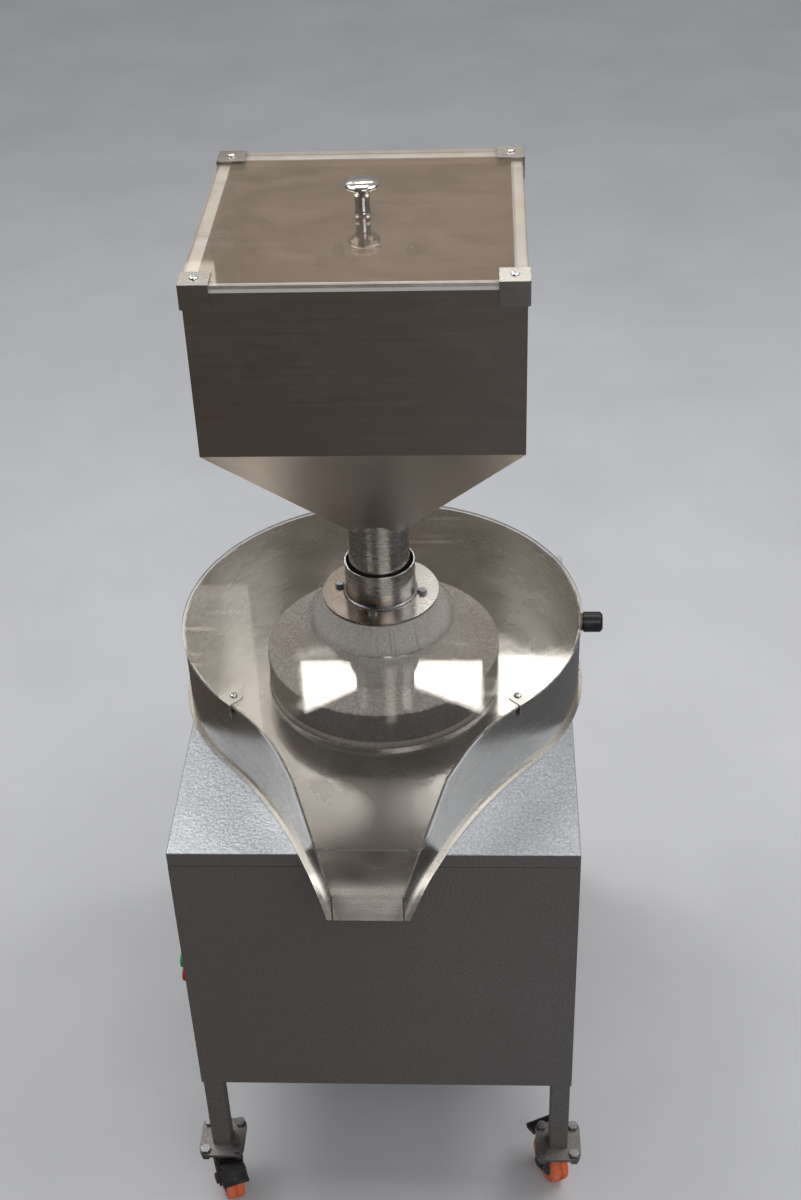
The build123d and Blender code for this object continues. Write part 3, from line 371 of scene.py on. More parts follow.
def acrylic(name, tint, base, haze, straight=0.05):
    """Clear sheet: it shines more at a slant, with smudges, dust and hair scratches."""
    look = Finish(name, Base_Color=(*tint, 1.0), Metallic=0.9)
    facing = look.tree.nodes.new("ShaderNodeLayerWeight").outputs["Facing"]
    slant = look.maths("POWER", facing, 5.0)
    shine = look.maths("ADD", look.maths("MULTIPLY", slant, 1.0 - straight), straight)
    smudge = look.noise(7.0, 6.0, 0.7, look.mapped((1.0, 1.6, 1.0), (0, 0, 0.6)), 1.4)
    speck = look.cells(150.0)
    where = look.ramp(look.noise(6.0, 3.0), (0.46, 0.0), (0.56, 1.0))
    scratch = look.noise(1.0, 2.0, 0.4, look.mapped((7.0, 300.0, 7.0), (0, 0, 0.9)))
    hazy = look.ramp(smudge, (0.42, base), (0.70, base + haze))
    specks = look.maths("MULTIPLY", look.ramp(speck, (0.05, 0.5), (0.10, 0.0)), where)
    lines = look.maths("MULTIPLY", look.ramp(scratch, (0.68, 0.0), (0.74, 0.28)), where)
    normal = look.tree.nodes.new("ShaderNodeNewGeometry").outputs["True Normal"]
    # Painted highlight: faces that look sideways, the sheet's cut edges, are painted pale and more opaque, for the
    # light that glows along the edges.
    cut = look.ramp(look.maths("ABSOLUTE", look.separate(normal)[2]), (0.3, 0.65), (0.5, 0.0))
    look.colour(look.mix(cut, tint, (0.90, 0.91, 0.90)))
    worn = look.maths("ADD", look.maths("ADD", specks, lines), look.maths("ADD", hazy, cut))
    look.alpha(look.maths("MINIMUM", look.maths("ADD", worn, shine), 1.0))
    look.roughness(look.ramp(smudge, (0.45, 0.02), (0.75, 0.10)))
    return look.material


def plain_metal(name, colour, rough, spangle=90.0, metallic=1.0):
    """Plated, turned or polished metal with a faint mottle."""
    look = Finish(name, Metallic=metallic)
    mottle = look.noise(spangle, 4.0, 0.6)
    cells = look.cells(spangle * 2.0)
    tone = look.ramp(mottle, (0.3, shade(colour, 0.8)), (0.7, shade(colour, 1.15)))
    look.colour(look.mix(look.ramp(cells, (0.2, 0.25), (0.5, 0.0)), tone, shade(colour, 1.3)))
    look.roughness(look.ramp(mottle, (0.3, rough), (0.7, min(1.0, rough + 0.14))))
    look.bump(mottle, 0.06, 0.0004)
    return look.material


def moulded(name, colour, rough, grain=700.0, dust=0.12):
    """Moulded plastic or rubber: fine grain, dust and scuffs."""
    look = Finish(name, Specular_IOR_Level=0.5)
    texture = look.noise(grain, 3.0, 0.6)
    cloud = look.noise(35.0, 6.0, 0.7, distortion=0.5)
    tone = look.ramp(texture, (0.3, shade(colour, 0.85)), (0.7, shade(colour, 1.15)))
    look.colour(look.mix(look.ramp(cloud, (0.55, 0.0), (0.75, dust)), tone, (0.42, 0.38, 0.34)))
    look.roughness(look.ramp(cloud, (0.35, rough), (0.75, min(1.0, rough + 0.25))))
    look.bump(texture, 0.15, 0.0003)
    return look.material


def cast_metal(name, colour):
    """Cast iron under primer, with a sandy skin."""
    look = Finish(name, Metallic=0.6)
    sand = look.noise(500.0, 6.0, 0.7)
    cloud = look.noise(25.0, 5.0, 0.6)
    tone = look.ramp(sand, (0.3, shade(colour, 0.75)), (0.7, shade(colour, 1.25)))
    look.colour(look.mix(look.ramp(cloud, (0.5, 0.0), (0.7, 0.4)), tone, (0.20, 0.13, 0.09)))
    look.roughness(look.ramp(cloud, (0.3, 0.5), (0.7, 0.75)))
    look.bump(sand, 0.4, 0.0008)
    return look.material


def stained_collar(name, colour, weld_height):
    """Turned collar with a straw and blue heat stain above its weld, strongest on the left."""
    look = Finish(name, Metallic=1.0)
    streak = look.noise(1.0, 5.0, 0.6, look.mapped((40.0, 40.0, 900.0)))
    base = look.ramp(streak, (0.3, shade(colour, 0.85)), (0.7, shade(colour, 1.15)))
    across, _, height = look.separate()
    above = look.maths("MULTIPLY", look.maths("SUBTRACT", height, weld_height), 45.0)
    uneven = look.maths("ADD", above, look.maths("MULTIPLY", look.noise(45.0, 3.0), 0.35))
    stain = look.ramp(
        uneven, (0.1, (0.16, 0.11, 0.07)), (0.32, (0.20, 0.22, 0.36)), (0.5, (0.46, 0.30, 0.14)),
        (0.8, (0.55, 0.52, 0.46)),
    )
    left = look.ramp(look.maths("MULTIPLY_ADD", across, -12.0), (0.0, 0.15), (0.5, 0.75))
    fade = look.maths("MULTIPLY", look.ramp(uneven, (0.5, 1.0), (0.9, 0.0)), left)
    look.colour(look.mix(fade, base, stain))
    look.roughness(look.ramp(streak, (0.3, 0.2), (0.7, 0.34)))
    look.bump(streak, 0.1, 0.0002)
    return look.material


def make_finishes():
    """One material for each slot of the record."""
    tones = colours()
    shoulder = box("runner_stone")[0].z + 0.046
    weld = box("feed_collar")[0].z + 0.006
    top_face = box("cabinet_top")[1].z - 0.0012
    # Height above which the hopper's rim gets its painted highlight.
    rim_edge = box("hopper")[1].z - 0.0045
    made = {
        "stainless": brushed_sheet("stainless", tones.stainless, (3.0, 3.0, 420.0), 0.24),
        "hopper_steel": brushed_sheet("hopper_steel", tones.hopper, (5.0, 5.0, 520.0), 0.34, satin=rim_edge),
        # Painted light and painted shade of one paint: the cabinet is lit above its top face and shaded below it, and
        # the panels and frame wear the shaded copy.
        "cabinet_paint": hammertone("cabinet_paint", tones.shaded_paint, 0.40, tones.paint, top_face),
        "panel_paint": hammertone("panel_paint", tones.shaded_paint),
        "frame_paint": hammertone("frame_paint", tones.shaded_paint, 0.45),
        "millstone": millstone("millstone", tones.stone),
        "runner_millstone": millstone("runner_millstone", tones.stone, shoulder),
        "clear_acrylic": acrylic("clear_acrylic", (0.80, 0.77, 0.72), 0.025, 0.05),
        # Painted reflection: the lid's brown tint and stronger base shine make the clear sheet look as brown as the
        # ceiling that it mirrors.
        "lid_acrylic": acrylic("lid_acrylic", (0.86, 0.77, 0.66), 0.12, 0.14, 0.07),
        "zinc": plain_metal("zinc", (0.36, 0.37, 0.39), 0.3),
        "chrome": plain_metal("chrome", (0.78, 0.79, 0.80), 0.05, 12.0),
        "machined_steel": plain_metal("machined_steel", (0.50, 0.50, 0.50), 0.22, 300.0),
        "cast_iron": cast_metal("cast_iron", (0.16, 0.17, 0.18)),
        "motor_paint": hammertone("motor_paint", (0.14, 0.20, 0.26), 0.4),
        "black_plastic": moulded("black_plastic", (0.018, 0.018, 0.02), 0.18),
        "case_plastic": moulded("case_plastic", (0.07, 0.07, 0.075), 0.45),
        "black_paint": moulded("black_paint", (0.03, 0.03, 0.032), 0.28, 300.0),
        "orange_tread": moulded("orange_tread", tones.tread, 0.4, 300.0, 0.35),
        "green_plastic": moulded("green_plastic", (0.02, 0.32, 0.09), 0.25),
        "red_plastic": moulded("red_plastic", (0.55, 0.02, 0.015), 0.25),
        "black_rubber": moulded("black_rubber", (0.03, 0.03, 0.03), 0.7, 500.0, 0.3),
        "collar_steel": stained_collar("collar_steel", (0.60, 0.59, 0.57), weld),
    }
    return made


def finish(name):
    if PREFIX + name not in bpy.data.materials:
        make_finishes()
    return bpy.data.materials[PREFIX + name]


# Making and placing meshes


def new_piece(name, mesh, material, body, replaced=(), edge=0.0, angle=30.0):
    """Adds a mesh as a piece, with rounded edges, on a body."""
    piece = bpy.data.objects.new(name, mesh)
    bpy.context.scene.collection.objects.link(piece)
    mesh.materials.clear()
    mesh.materials.append(finish(material))
    if edge > 0:
        bevel = piece.modifiers.new("edges", "BEVEL")
        bevel.width = edge
        bevel.segments = 2
        bevel.limit_method = "ANGLE"
        bevel.angle_limit = math.radians(angle)
        bevel.harden_normals = True
    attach(piece, body)
    if replaced:
        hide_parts(*replaced)
    return piece


def smooth_by_angle(form, angle=32.0):
    """Smooth faces with sharp edges where they meet at more than the angle."""
    limit = math.radians(angle)
    for face in form.faces:
        face.smooth = True
    for edge in form.edges:
        flat = len(edge.link_faces) == 2 and edge.calc_face_angle(0.0) < limit
        edge.smooth = flat


def finished_mesh(form, name, angle=32.0, outwards=True):
    if outwards:
        bmesh.ops.recalc_face_normals(form, faces=form.faces)
    smooth_by_angle(form, angle)
    mesh = bpy.data.meshes.new(name)
    form.to_mesh(mesh)
    form.free()
    return mesh


def merged(node):
    """A copy of a node's shape with its triangles merged into whole faces."""
    form = bmesh.new()
    form.from_mesh(frame["nodes"][node].data)
    bmesh.ops.remove_doubles(form, verts=form.verts, dist=1e-6)
    bmesh.ops.dissolve_limit(form, angle_limit=math.radians(0.8), verts=form.verts, edges=form.edges)
    return form


def softened(node, material=None, edge=None, name=None):
    """A copy of a node's shape with merged faces and rounded edges, which stands for it."""
    mesh = finished_mesh(merged(node), name or node + "_piece", outwards=False)
    return new_piece(
        name or node + "_piece",
        mesh,
        material or SLOT_OF[node],
        BODY_OF[node],
        (node,),
        settings().edge if edge is None else edge,
    )


def lathe(profile, segments, closed=True, shift=None):
    """Turns a profile of (radius, height) about Z. Shift moves a point before it is used."""
    form = bmesh.new()
    rings = []
    for radius, height in profile:
        if radius < 1e-7:
            rings.append([form.verts.new((0, 0, height))])
            continue
        ring = []
        for i in range(segments):
            turn = 2 * math.pi * i / segments
            spot = Vector((radius * math.cos(turn), radius * math.sin(turn), height))
            ring.append(form.verts.new(shift(spot, turn) if shift else spot))
        rings.append(ring)
    pairs = list(zip(rings, rings[1:]))
    if closed:
        pairs.append((rings[-1], rings[0]))
    for low, high in pairs:
        for i in range(segments):
            j = (i + 1) % segments
            corners = [low[i % len(low)], low[j % len(low)], high[j % len(high)], high[i % len(high)]]
            distinct = list(dict.fromkeys(corners))
            if len(distinct) > 2:
                form.faces.new(distinct)
    return form


def subdivided(points, step):
    """Points along a closed outline, no further apart than the step."""
    out = []
    for first, second in zip(points, points[1:] + points[:1]):
        a, b = Vector(first), Vector(second)
        count = max(1, math.ceil((b - a).length / step))
        out.extend(tuple(a.lerp(b, i / count)) for i in range(count))
    return out


def moved(form, matrix):
    bmesh.ops.transform(form, matrix=matrix, verts=form.verts)
    return form


def joined(forms):
    """One form of several."""
    whole = bmesh.new()
    for form in forms:
        mesh = bpy.data.meshes.new("step")
        form.to_mesh(mesh)
        form.free()
        whole.from_mesh(mesh)
        bpy.data.meshes.remove(mesh)
    return whole


# Geometry Nodes: like pieces on the points of a mesh


def scatter_tree(name):
    """A tree that puts one shape on every point, turned by the point's own heading."""
    tree = bpy.data.node_groups.new(name, "GeometryNodeTree")
    face = tree.interface
    face.new_socket("Points", in_out="INPUT", socket_type="NodeSocketGeometry")
    face.new_socket("Shape", in_out="INPUT", socket_type="NodeSocketObject")
    face.new_socket("Size", in_out="INPUT", socket_type="NodeSocketFloat")
    face.new_socket("Wobble", in_out="INPUT", socket_type="NodeSocketFloat")
    face.new_socket("Finish", in_out="INPUT", socket_type="NodeSocketMaterial")
    face.new_socket("Pieces", in_out="OUTPUT", socket_type="NodeSocketGeometry")
    make = tree.nodes.new
    entry = make("NodeGroupInput")
    shape = make("GeometryNodeObjectInfo")
    place = make("GeometryNodeInstanceOnPoints")
    heading = make("GeometryNodeInputNamedAttribute")
    heading.data_type = "FLOAT_VECTOR"
    heading.inputs["Name"].default_value = "heading"
    turn = make("FunctionNodeEulerToRotation")
    chance = make("FunctionNodeRandomValue")
    chance.data_type = "FLOAT"
    chance.inputs["Seed"].default_value = 7
    less = make("ShaderNodeMath")
    less.operation = "SUBTRACT"
    real = make("GeometryNodeRealizeInstances")
    paint = make("GeometryNodeSetMaterial")
    leave = make("NodeGroupOutput")
    link = tree.links.new
    link(entry.outputs["Points"], place.inputs["Points"])
    link(entry.outputs["Shape"], shape.inputs["Object"])
    link(shape.outputs["Geometry"], place.inputs["Instance"])
    link(heading.outputs["Attribute"], turn.inputs[0])
    link(turn.outputs[0], place.inputs["Rotation"])
    link(entry.outputs["Size"], less.inputs[0])
    link(entry.outputs["Wobble"], less.inputs[1])
    link(less.outputs[0], chance.inputs[2])
    link(entry.outputs["Size"], chance.inputs[3])
    link(chance.outputs[1], place.inputs["Scale"])
    link(place.outputs[0], real.inputs[0])
    link(real.outputs[0], paint.inputs["Geometry"])
    link(entry.outputs["Finish"], paint.inputs["Material"])
    link(paint.outputs[0], leave.inputs[0])
    return tree


def scattered(name, shape, places, material, body, replaced=(), wobble=0.0):
    """Copies of a shape at (position, heading) places, as one plain piece."""
    tree = bpy.data.node_groups.get("like_pieces") or scatter_tree("like_pieces")
    seed = bpy.data.objects.new(name + "_shape", shape)
    bpy.context.scene.collection.objects.link(seed)
    mesh = bpy.data.meshes.new(name + "_points")
    mesh.from_pydata([tuple(spot) for spot, _ in places], [], [])
    heading = mesh.attributes.new("heading", "FLOAT_VECTOR", "POINT")
    for i, (_, turn) in enumerate(places):
        heading.data[i].vector = tuple(turn)
    holder = bpy.data.objects.new(name + "_points", mesh)
    bpy.context.scene.collection.objects.link(holder)
    modifier = holder.modifiers.new("like pieces", "NODES")
    modifier.node_group = tree
    sockets = {s.name: s.identifier for s in tree.interface.items_tree if s.in_out == "INPUT"}
    modifier[sockets["Shape"]] = seed
    modifier[sockets["Size"]] = 1.0
    modifier[sockets["Wobble"]] = wobble
    modifier[sockets["Finish"]] = finish(material)
    bpy.context.view_layer.update()
    evaluated = holder.evaluated_get(bpy.context.evaluated_depsgraph_get())
    plain = bpy.data.meshes.new_from_object(evaluated)
    holder.modifiers.clear()
    bpy.data.objects.remove(holder)
    bpy.data.objects.remove(seed)
    if not plain.polygons:
        raise RuntimeError(name + " came out empty")
    return new_piece(name, plain, material, body, replaced)


def cross_screw(radius, height, length):
    """A pan head with a cross recess and a plain shank below it."""
    profile = [
        (0.0, height * 0.55),
        (radius * 0.16, height * 0.55),
        (radius * 0.2, height),
        (radius * 0.55, height * 0.93),
        (radius * 0.85, height * 0.66),
        (radius * 0.98, height * 0.3),
        (radius, 0.0),
        (radius * 0.52, 0.0),
        (radius * 0.52, -length),
        (0.0, -length),
    ]

    def recess(spot, turn):
        arm = abs(math.cos(2 * turn)) ** 6
        reach = math.hypot(spot.x, spot.y) / radius
        if spot.z > 0 and 0.1 < reach < 0.6 and arm > 0.4:
            return Vector((spot.x, spot.y, spot.z - 0.42 * height * arm))
        return spot

    return finished_mesh(lathe(profile, 48, closed=False, shift=recess), "cross_screw", 40.0)


# Stones


def rough(spot, size, amount):
    return noise.noise(spot * size) * amount


def chisel_marks(spot, turn, sectors):
    """Depth from 0 to 1 of slanting chisel marks in groups on a stone's flat face."""
    width = 2 * math.pi / sectors
    group = math.floor(turn / width)
    middle = (group + 0.5) * width
    lean = math.radians(34.0 + 9.0 * noise.noise(Vector((group * 3.1, 0.7, 0.0))))
    along = Vector((math.cos(middle + lean), math.sin(middle + lean), 0))
    across = Vector((-along.y, along.x, 0))
    wander = 0.0012 * noise.noise(spot * 40.0)
    pitch = 0.0085
    phase = ((spot.dot(across) + wander) / pitch) % 1.0
    return max(0.0, 1.0 - abs(phase - 0.5) * 3.4)


def make_runner_stone():
    low, high = box("runner_stone")
    radius = (high.x - low.x) / 2
    thickness = 44.5 * MM
    foot_radius = 103 * MM
    top_radius = 76 * MM
    eye = 40 * MM
    shoulder = low.z + thickness
    depth = settings().groove_depth
    sectors = settings().groove_sectors
    outline = [
        (eye, low.z),
        (radius - 1.5 * MM, low.z),
        (radius, low.z + 2 * MM),
        (radius, shoulder - 2.5 * MM),
        (radius - 2.2 * MM, shoulder - 0.3 * MM),
        (foot_radius + 7 * MM, shoulder - 0.3 * MM),
        (foot_radius - 1 * MM, shoulder + 3 * MM),
        (foot_radius - 3.5 * MM, shoulder + 9 * MM),
        (top_radius, high.z - 1 * MM),
        (top_radius - 1 * MM, high.z),
        (eye, high.z),
    ]
    points = subdivided(outline, 3.0 * MM)

    def worked(spot, turn):
        reach = math.hypot(spot.x, spot.y)
        outwards = Vector((spot.x, spot.y, 0)) / max(reach, 1e-6)
        bulk = rough(spot, 90.0, 0.00045) + rough(spot, 320.0, 0.0003)
        if abs(spot.z - low.z) < 1e-5 or reach < eye + 1e-5 or abs(spot.z - high.z) < 1e-5:
            return spot
        if spot.z > shoulder + 2 * MM:
            # Upright chisel strokes down the boss
            stroke = noise.noise(Vector((math.cos(turn) * 26.0, math.sin(turn) * 26.0, spot.z * 22.0)))
            return spot - outwards * (0.0006 + max(0.0, stroke) * 0.0018 - bulk)
        if reach > radius - 1e-4:
            stroke = noise.noise(Vector((math.cos(turn) * 40.0, math.sin(turn) * 40.0, spot.z * 12.0)))
            return spot - outwards * (0.0007 + max(0.0, stroke) * 0.0014 - bulk)
        mark = chisel_marks(spot, turn, sectors)
        fade = min(1.0, max(0.0, (reach - foot_radius - 6 * MM) / (8 * MM)))
        chip = max(0.0, noise.noise(spot * 150.0) - 0.35) * 0.002
        return spot - Vector((0, 0, mark * depth * fade + chip - bulk * 0.6))

    form = moved(lathe(points, 720, shift=lambda spot, turn: worked(spot + Vector((0, 0, 0)), turn)),
                 Matrix.Translation((SPINDLE.x, SPINDLE.y, 0)))
    mesh = finished_mesh(form, "dressed_runner", 60.0)
    new_piece("dressed_runner", mesh, "runner_millstone", "runner", ("runner_stone",))


def make_bed_stone():
    low, high = box("bed_stone")
    radius = (high.x - low.x) / 2
    bore = 24 * MM
    outline = [(bore, low.z), (radius, low.z), (radius, high.z - 2 * MM), (radius - 2 * MM, high.z), (bore, high.z)]

    def worked(spot, turn):
        reach = math.hypot(spot.x, spot.y)
        if reach > radius - 1e-4:
            outwards = Vector((spot.x, spot.y, 0)) / reach
            return spot - outwards * (0.0006 + rough(spot, 200.0, 0.0005))
        return spot

    form = moved(lathe(subdivided(outline, 5 * MM), 360, shift=worked), Matrix.Translation((SPINDLE.x, SPINDLE.y, 0)))
    new_piece("dressed_bed", finished_mesh(form, "dressed_bed", 60.0), "millstone", "cabinet",
              ("bed_stone",))


class MILL_OT_stones(bpy.types.Operator):
    """Makes the runner stone and the bed stone with their chisel marks"""

    bl_idname = "mill.stones"
    bl_label = "Stones"

    def execute(self, context):
        make_runner_stone()
        make_bed_stone()
        return {"FINISHED"}


# Bowl


def bowl_half(shoulder, offset, reach):
    """Half of the bowl's plan from the rear round to the spout's tip, as a list of (x, y)."""
    size = settings()
    lean = size.spout_angle
    along = Vector((math.sin(lean), math.cos(lean)))
    outward = Vector((math.cos(lean), -math.sin(lean)))
    tip = Vector((size.spout_half_width, -size.spout_reach))
    base = tip + outward * shoulder
    dot = base.dot(along)
    slide = -dot - math.sqrt(dot * dot - base.dot(base) + (size.bowl_radius + shoulder) ** 2)
    centre = base + along * slide
    on_circle = centre * ((size.bowl_radius + offset) / (size.bowl_radius + shoulder))
    on_side = centre - outward * (shoulder - offset)
    points = []
    end = math.atan2(on_circle.y, on_circle.x)
    for i in range(121):
        turn = math.pi / 2 + (end - math.pi / 2) * i / 120
        points.append((size.bowl_radius + offset) * Vector((math.cos(turn), math.sin(turn))))
    first = on_circle - centre
    last = on_side - centre
    sweep = first.angle_signed(last)
    for i in range(1, 61):
        turn = -sweep * i / 60
        points.append(centre + Matrix.Rotation(turn, 2) @ first)
    past = (reach - size.spout_reach + offset * outward.y) / along.y
    stop = tip + outward * offset - along * past
    for i in range(1, 31):
        points.append(on_side.lerp(stop, i / 30))
    return points


def lip_height(y, level):
    """The height of the floor's face at y, rolled down round the lip's bend."""
    size = settings()
    past = -size.lip_bend - y
    roll = size.lip_roll
    slope = math.tan(size.lip_angle)
    if past >= roll:
        return level - past * slope
    return level - slope * max(0.0, past + roll) ** 2 / (4 * roll)


def make_bowl_floor():
    """The floor plate with its lip rolled down instead of sharply bent."""
    size = settings()
    form = merged("bowl_floor")
    for i in range(-6, 7):
        cut = SPINDLE.y - size.lip_bend - i * size.lip_roll / 6
        whole = form.verts[:] + form.edges[:] + form.faces[:]
        bmesh.ops.bisect_plane(form, geom=whole, plane_co=(0, cut, 0), plane_no=(0, 1, 0), dist=1e-6)
    for vert in form.verts:
        y = vert.co.y - SPINDLE.y
        sharp = -max(0.0, -size.lip_bend - y) * math.tan(size.lip_angle)
        vert.co.z += lip_height(y, 0.0) - sharp
    mesh = finished_mesh(form, "rolled_floor", outwards=False)
    new_piece("rolled_floor", mesh, "stainless", "cabinet", ("bowl_floor",), 0.0003)


def wall_top(y, rim, floor):
    size = settings()
    fall = (rim - floor - size.spout_end_height) / (size.spout_reach - size.slope_start)
    return min(rim, rim - fall * (-size.slope_start - y))


def make_bowl_wall():
    """The wall from its foot to its rim as one smooth sheet with a dressed top edge."""
    size = settings()
    low, high = box("bowl_wall")
    rim = high.z
    floor = box("seat_ring")[0].z
    rows = 14
    form = bmesh.new()
    sheets = []
    for inset in (0.0, -size.bowl_sheet):
        feet = bowl_half(size.shoulder_foot, inset, size.spout_reach)
        tops = bowl_half(size.shoulder_top, inset, size.spout_reach)
        columns = []
        for foot, top in zip(feet, tops):
            share = 1.0
            for _ in range(12):
                y = foot.y + (top.y - foot.y) * share
                share = (wall_top(y, rim, floor) - floor) / (rim - floor)
            column = []
            column.append(Vector((foot.x, foot.y, lip_height(foot.y, floor))))
            for i in range(rows + 1):
                t = share * i / rows
                column.append(Vector((foot.x + (top.x - foot.x) * t, foot.y + (top.y - foot.y) * t,
                                      floor + (rim - floor) * t)))
            columns.append(column)
        sheets.append(columns)
    grids = []
    for columns in sheets:
        whole = [[Vector((-p.x, p.y, p.z)) for p in column] for column in columns[:0:-1]] + columns
        grids.append([[form.verts.new((p.x + SPINDLE.x, p.y + SPINDLE.y, p.z)) for p in column] for column in whole])
    outer, inner = grids
    for grid in grids:
        for a, b in zip(grid, grid[1:]):
            for i in range(len(a) - 1):
                form.faces.new((a[i], b[i], b[i + 1], a[i + 1]))
    for a, b, c, d in zip(outer, outer[1:], inner[1:], inner):
        form.faces.new((a[-1], b[-1], c[-1], d[-1]))
        form.faces.new((a[0], b[0], c[0], d[0]))
    for a, b in ((outer[0], inner[0]), (outer[-1], inner[-1])):
        for i in range(len(a) - 1):
            form.faces.new((a[i], a[i + 1], b[i + 1], b[i]))
    bmesh.ops.remove_doubles(form, verts=form.verts, dist=1e-6)
    mesh = finished_mesh(form, "rolled_wall", 40.0)
    new_piece("rolled_wall", mesh, "stainless", "cabinet", ("bowl_wall",), 0.0004, 60.0)


class MILL_OT_bowl(bpy.types.Operator):
    """Makes the bowl's wall, floor, seat ring and grip"""

    bl_idname = "mill.bowl"
    bl_label = "Bowl"

    def execute(self, context):
        make_bowl_wall()
        make_bowl_floor()
        softened("seat_ring", edge=0.0003)
        softened("bowl_grip", edge=0.0008)
        return {"FINISHED"}


class MILL_OT_cover(bpy.types.Operator):
    """Makes the clear bowl cover with its tabs and screws"""

    bl_idname = "mill.cover"
    bl_label = "Bowl cover"

    def execute(self, context):
        softened("bowl_cover", edge=0.0004)
        softened("cover_tabs", edge=0.0003)
        screw_set("cover_tab_screws", "chrome")
        return {"FINISHED"}


def islands(node):
    """The boxes of a node's separate solids, as (low, high) pairs."""
    form = bmesh.new()
    form.from_mesh(frame["nodes"][node].data)
    bmesh.ops.remove_doubles(form, verts=form.verts, dist=1e-6)
    left = set(form.verts)
    found = []
    while left:
        stack = [left.pop()]
        group = list(stack)
        while stack:
            for edge in stack.pop().link_edges:
                for vert in edge.verts:
                    if vert in left:
                        left.remove(vert)
                        stack.append(vert)
                        group.append(vert)
        low = Vector([min(v.co[i] for v in group) for i in range(3)])
        high = Vector([max(v.co[i] for v in group) for i in range(3)])
        found.append((low, high))
    form.free()
    return sorted(found, key=lambda pair: tuple(round(v, 4) for v in pair[0]))


def screw_set(node, slot, height=2.5 * MM, radius=4.75 * MM):
    """Cross-headed screws in place of a node's plain ones, heads up."""
    places = []
    for i, (low, high) in enumerate(islands(node)):
        middle = (low + high) / 2
        places.append((Vector((middle.x, middle.y, high.z - height)), (0, 0, 0.7 * i)))
    length = islands(node)[0][1].z - islands(node)[0][0].z - height
    scattered(node + "_heads", cross_screw(radius, height, length), places, slot, BODY_OF[node], (node,))


# Feed collar, hopper and lid


def ripple(size):
    """One ripple of a weld: a flattened bead."""
    form = bmesh.new()
    bmesh.ops.create_uvsphere(form, u_segments=10, v_segments=7, radius=size)
    bmesh.ops.scale(form, vec=(0.7, 1.25, 0.85), verts=form.verts)
    return finished_mesh(form, "ripple", 80.0)


def weld_ring(name, radius, height, count, size, body, material="collar_steel"):
    places = []
    for i in range(count):
        turn = 2 * math.pi * i / count
        spot = SPINDLE + Vector((radius * math.cos(turn), radius * math.sin(turn), height - SPINDLE.z))
        places.append((spot, (0, 0.0, turn + math.pi / 2)))
    scattered(name, ripple(size), places, material, body, (), 0.25)


class MILL_OT_feed(bpy.types.Operator):
    """Makes the feed collar with its weld, and the flange bolts"""

    bl_idname = "mill.feed"
    bl_label = "Feed collar"

    def execute(self, context):
        softened("feed_collar", "collar_steel")
        softened("flange_bolts", edge=0.0005)
        low = box("feed_collar")[0]
        weld_ring("collar_weld", 45.2 * MM, low.z + 5.2 * MM, settings().weld_ripples, 2.0 * MM, "runner")
        return {"FINISHED"}


def make_knob():
    """A short turned mushroom: a stem that opens out under a domed cap."""
    low, high = box("lid_knob")
    tall = high.z - low.z
    wide = (high.x - low.x) / 2
    profile = [
        (0.0, 0.0), (0.50, 0.0), (0.50, 0.03), (0.45, 0.07), (0.44, 0.16), (0.44, 0.42), (0.46, 0.46),
        (0.45, 0.50), (0.47, 0.58), (0.55, 0.68), (0.74, 0.75), (0.92, 0.79), (0.99, 0.835), (1.0, 0.86),
        (0.98, 0.895), (0.86, 0.945), (0.62, 0.98), (0.32, 0.995), (0.0, 1.0),
    ]
    points = [(radius * wide, low.z + height * tall) for radius, height in profile]
    form = moved(lathe(points, 96, closed=False), Matrix.Translation((SPINDLE.x, SPINDLE.y, 0)))
    mesh = finished_mesh(form, "turned_knob", 50.0)
    piece = new_piece("turned_knob", mesh, "chrome", "lid", ("lid_knob",))
    smooth = piece.modifiers.new("smooth", "SUBSURF")
    smooth.levels = 1
    smooth.render_levels = 1


class MILL_OT_hopper(bpy.types.Operator):
    """Makes the hopper, its neck, its post and arm, and the lid with its caps, screws and knob"""

    bl_idname = "mill.hopper"
    bl_label = "Hopper"

    def execute(self, context):
        softened("hopper", edge=0.0006)
        softened("hopper_neck", "collar_steel", edge=0.0003)
        softened("hopper_post", edge=0.0003)
        softened("hopper_arm", edge=0.0005)
        softened("post_bolts", edge=0.0005)
        softened("hopper_lid", "lid_acrylic", edge=0.0005)
        softened("lid_corner_caps", edge=0.0005)
        screw_set("lid_screws", "chrome")
        make_knob()
        return {"FINISHED"}


# Cabinet and drive


class MILL_OT_cabinet(bpy.types.Operator):
    """Makes the cabinet's panels, frame, switch and gland"""

    bl_idname = "mill.cabinet"
    bl_label = "Cabinet"

    def execute(self, context):
        softened("cabinet_top", edge=0.0012)
        for node in ("front_panel", "left_panel", "right_panel", "rear_panel"):
            softened(node, "panel_paint", edge=0.0004)
        for node in ("legs", "frame_rails", "motor_shelf", "rear_panel_screws"):
            softened(node, edge=0.0006)
        for node in ("switch_case", "start_button", "stop_button", "cable_gland"):
            softened(node, edge=0.0006)
        return {"FINISHED"}


class MILL_OT_drive(bpy.types.Operator):
    """Makes the motor, belt, pulleys, spindle and bearings"""

    bl_idname = "mill.drive"
    bl_label = "Drive"

    def execute(self, context):
        for node in (
            "motor_body",
            "motor_fan_housing",
            "motor_terminal_box",
            "motor_bolts",
            "motor_shaft",
            "motor_pulley",
            "drive_belt",
            "driven_pulley",
            "spindle",
            "spindle_bearings",
            "spindle_seal",
            "bearing_housing",
            "housing_bolts",
            "stone_carrier",
            "stone_driver",
        ):
            softened(node, edge=0.0005)
        return {"FINISHED"}


# Casters


def along_axis(joint):
    """A matrix that stands a turned form's Z along a joint's axis, at its place."""
    axis = Vector(JOINTS[joint]["axis"])
    spin = axis.to_track_quat("Z", "Y").to_matrix().to_4x4()
    return Matrix.Translation(JOINTS[joint]["pos_m"]) @ spin


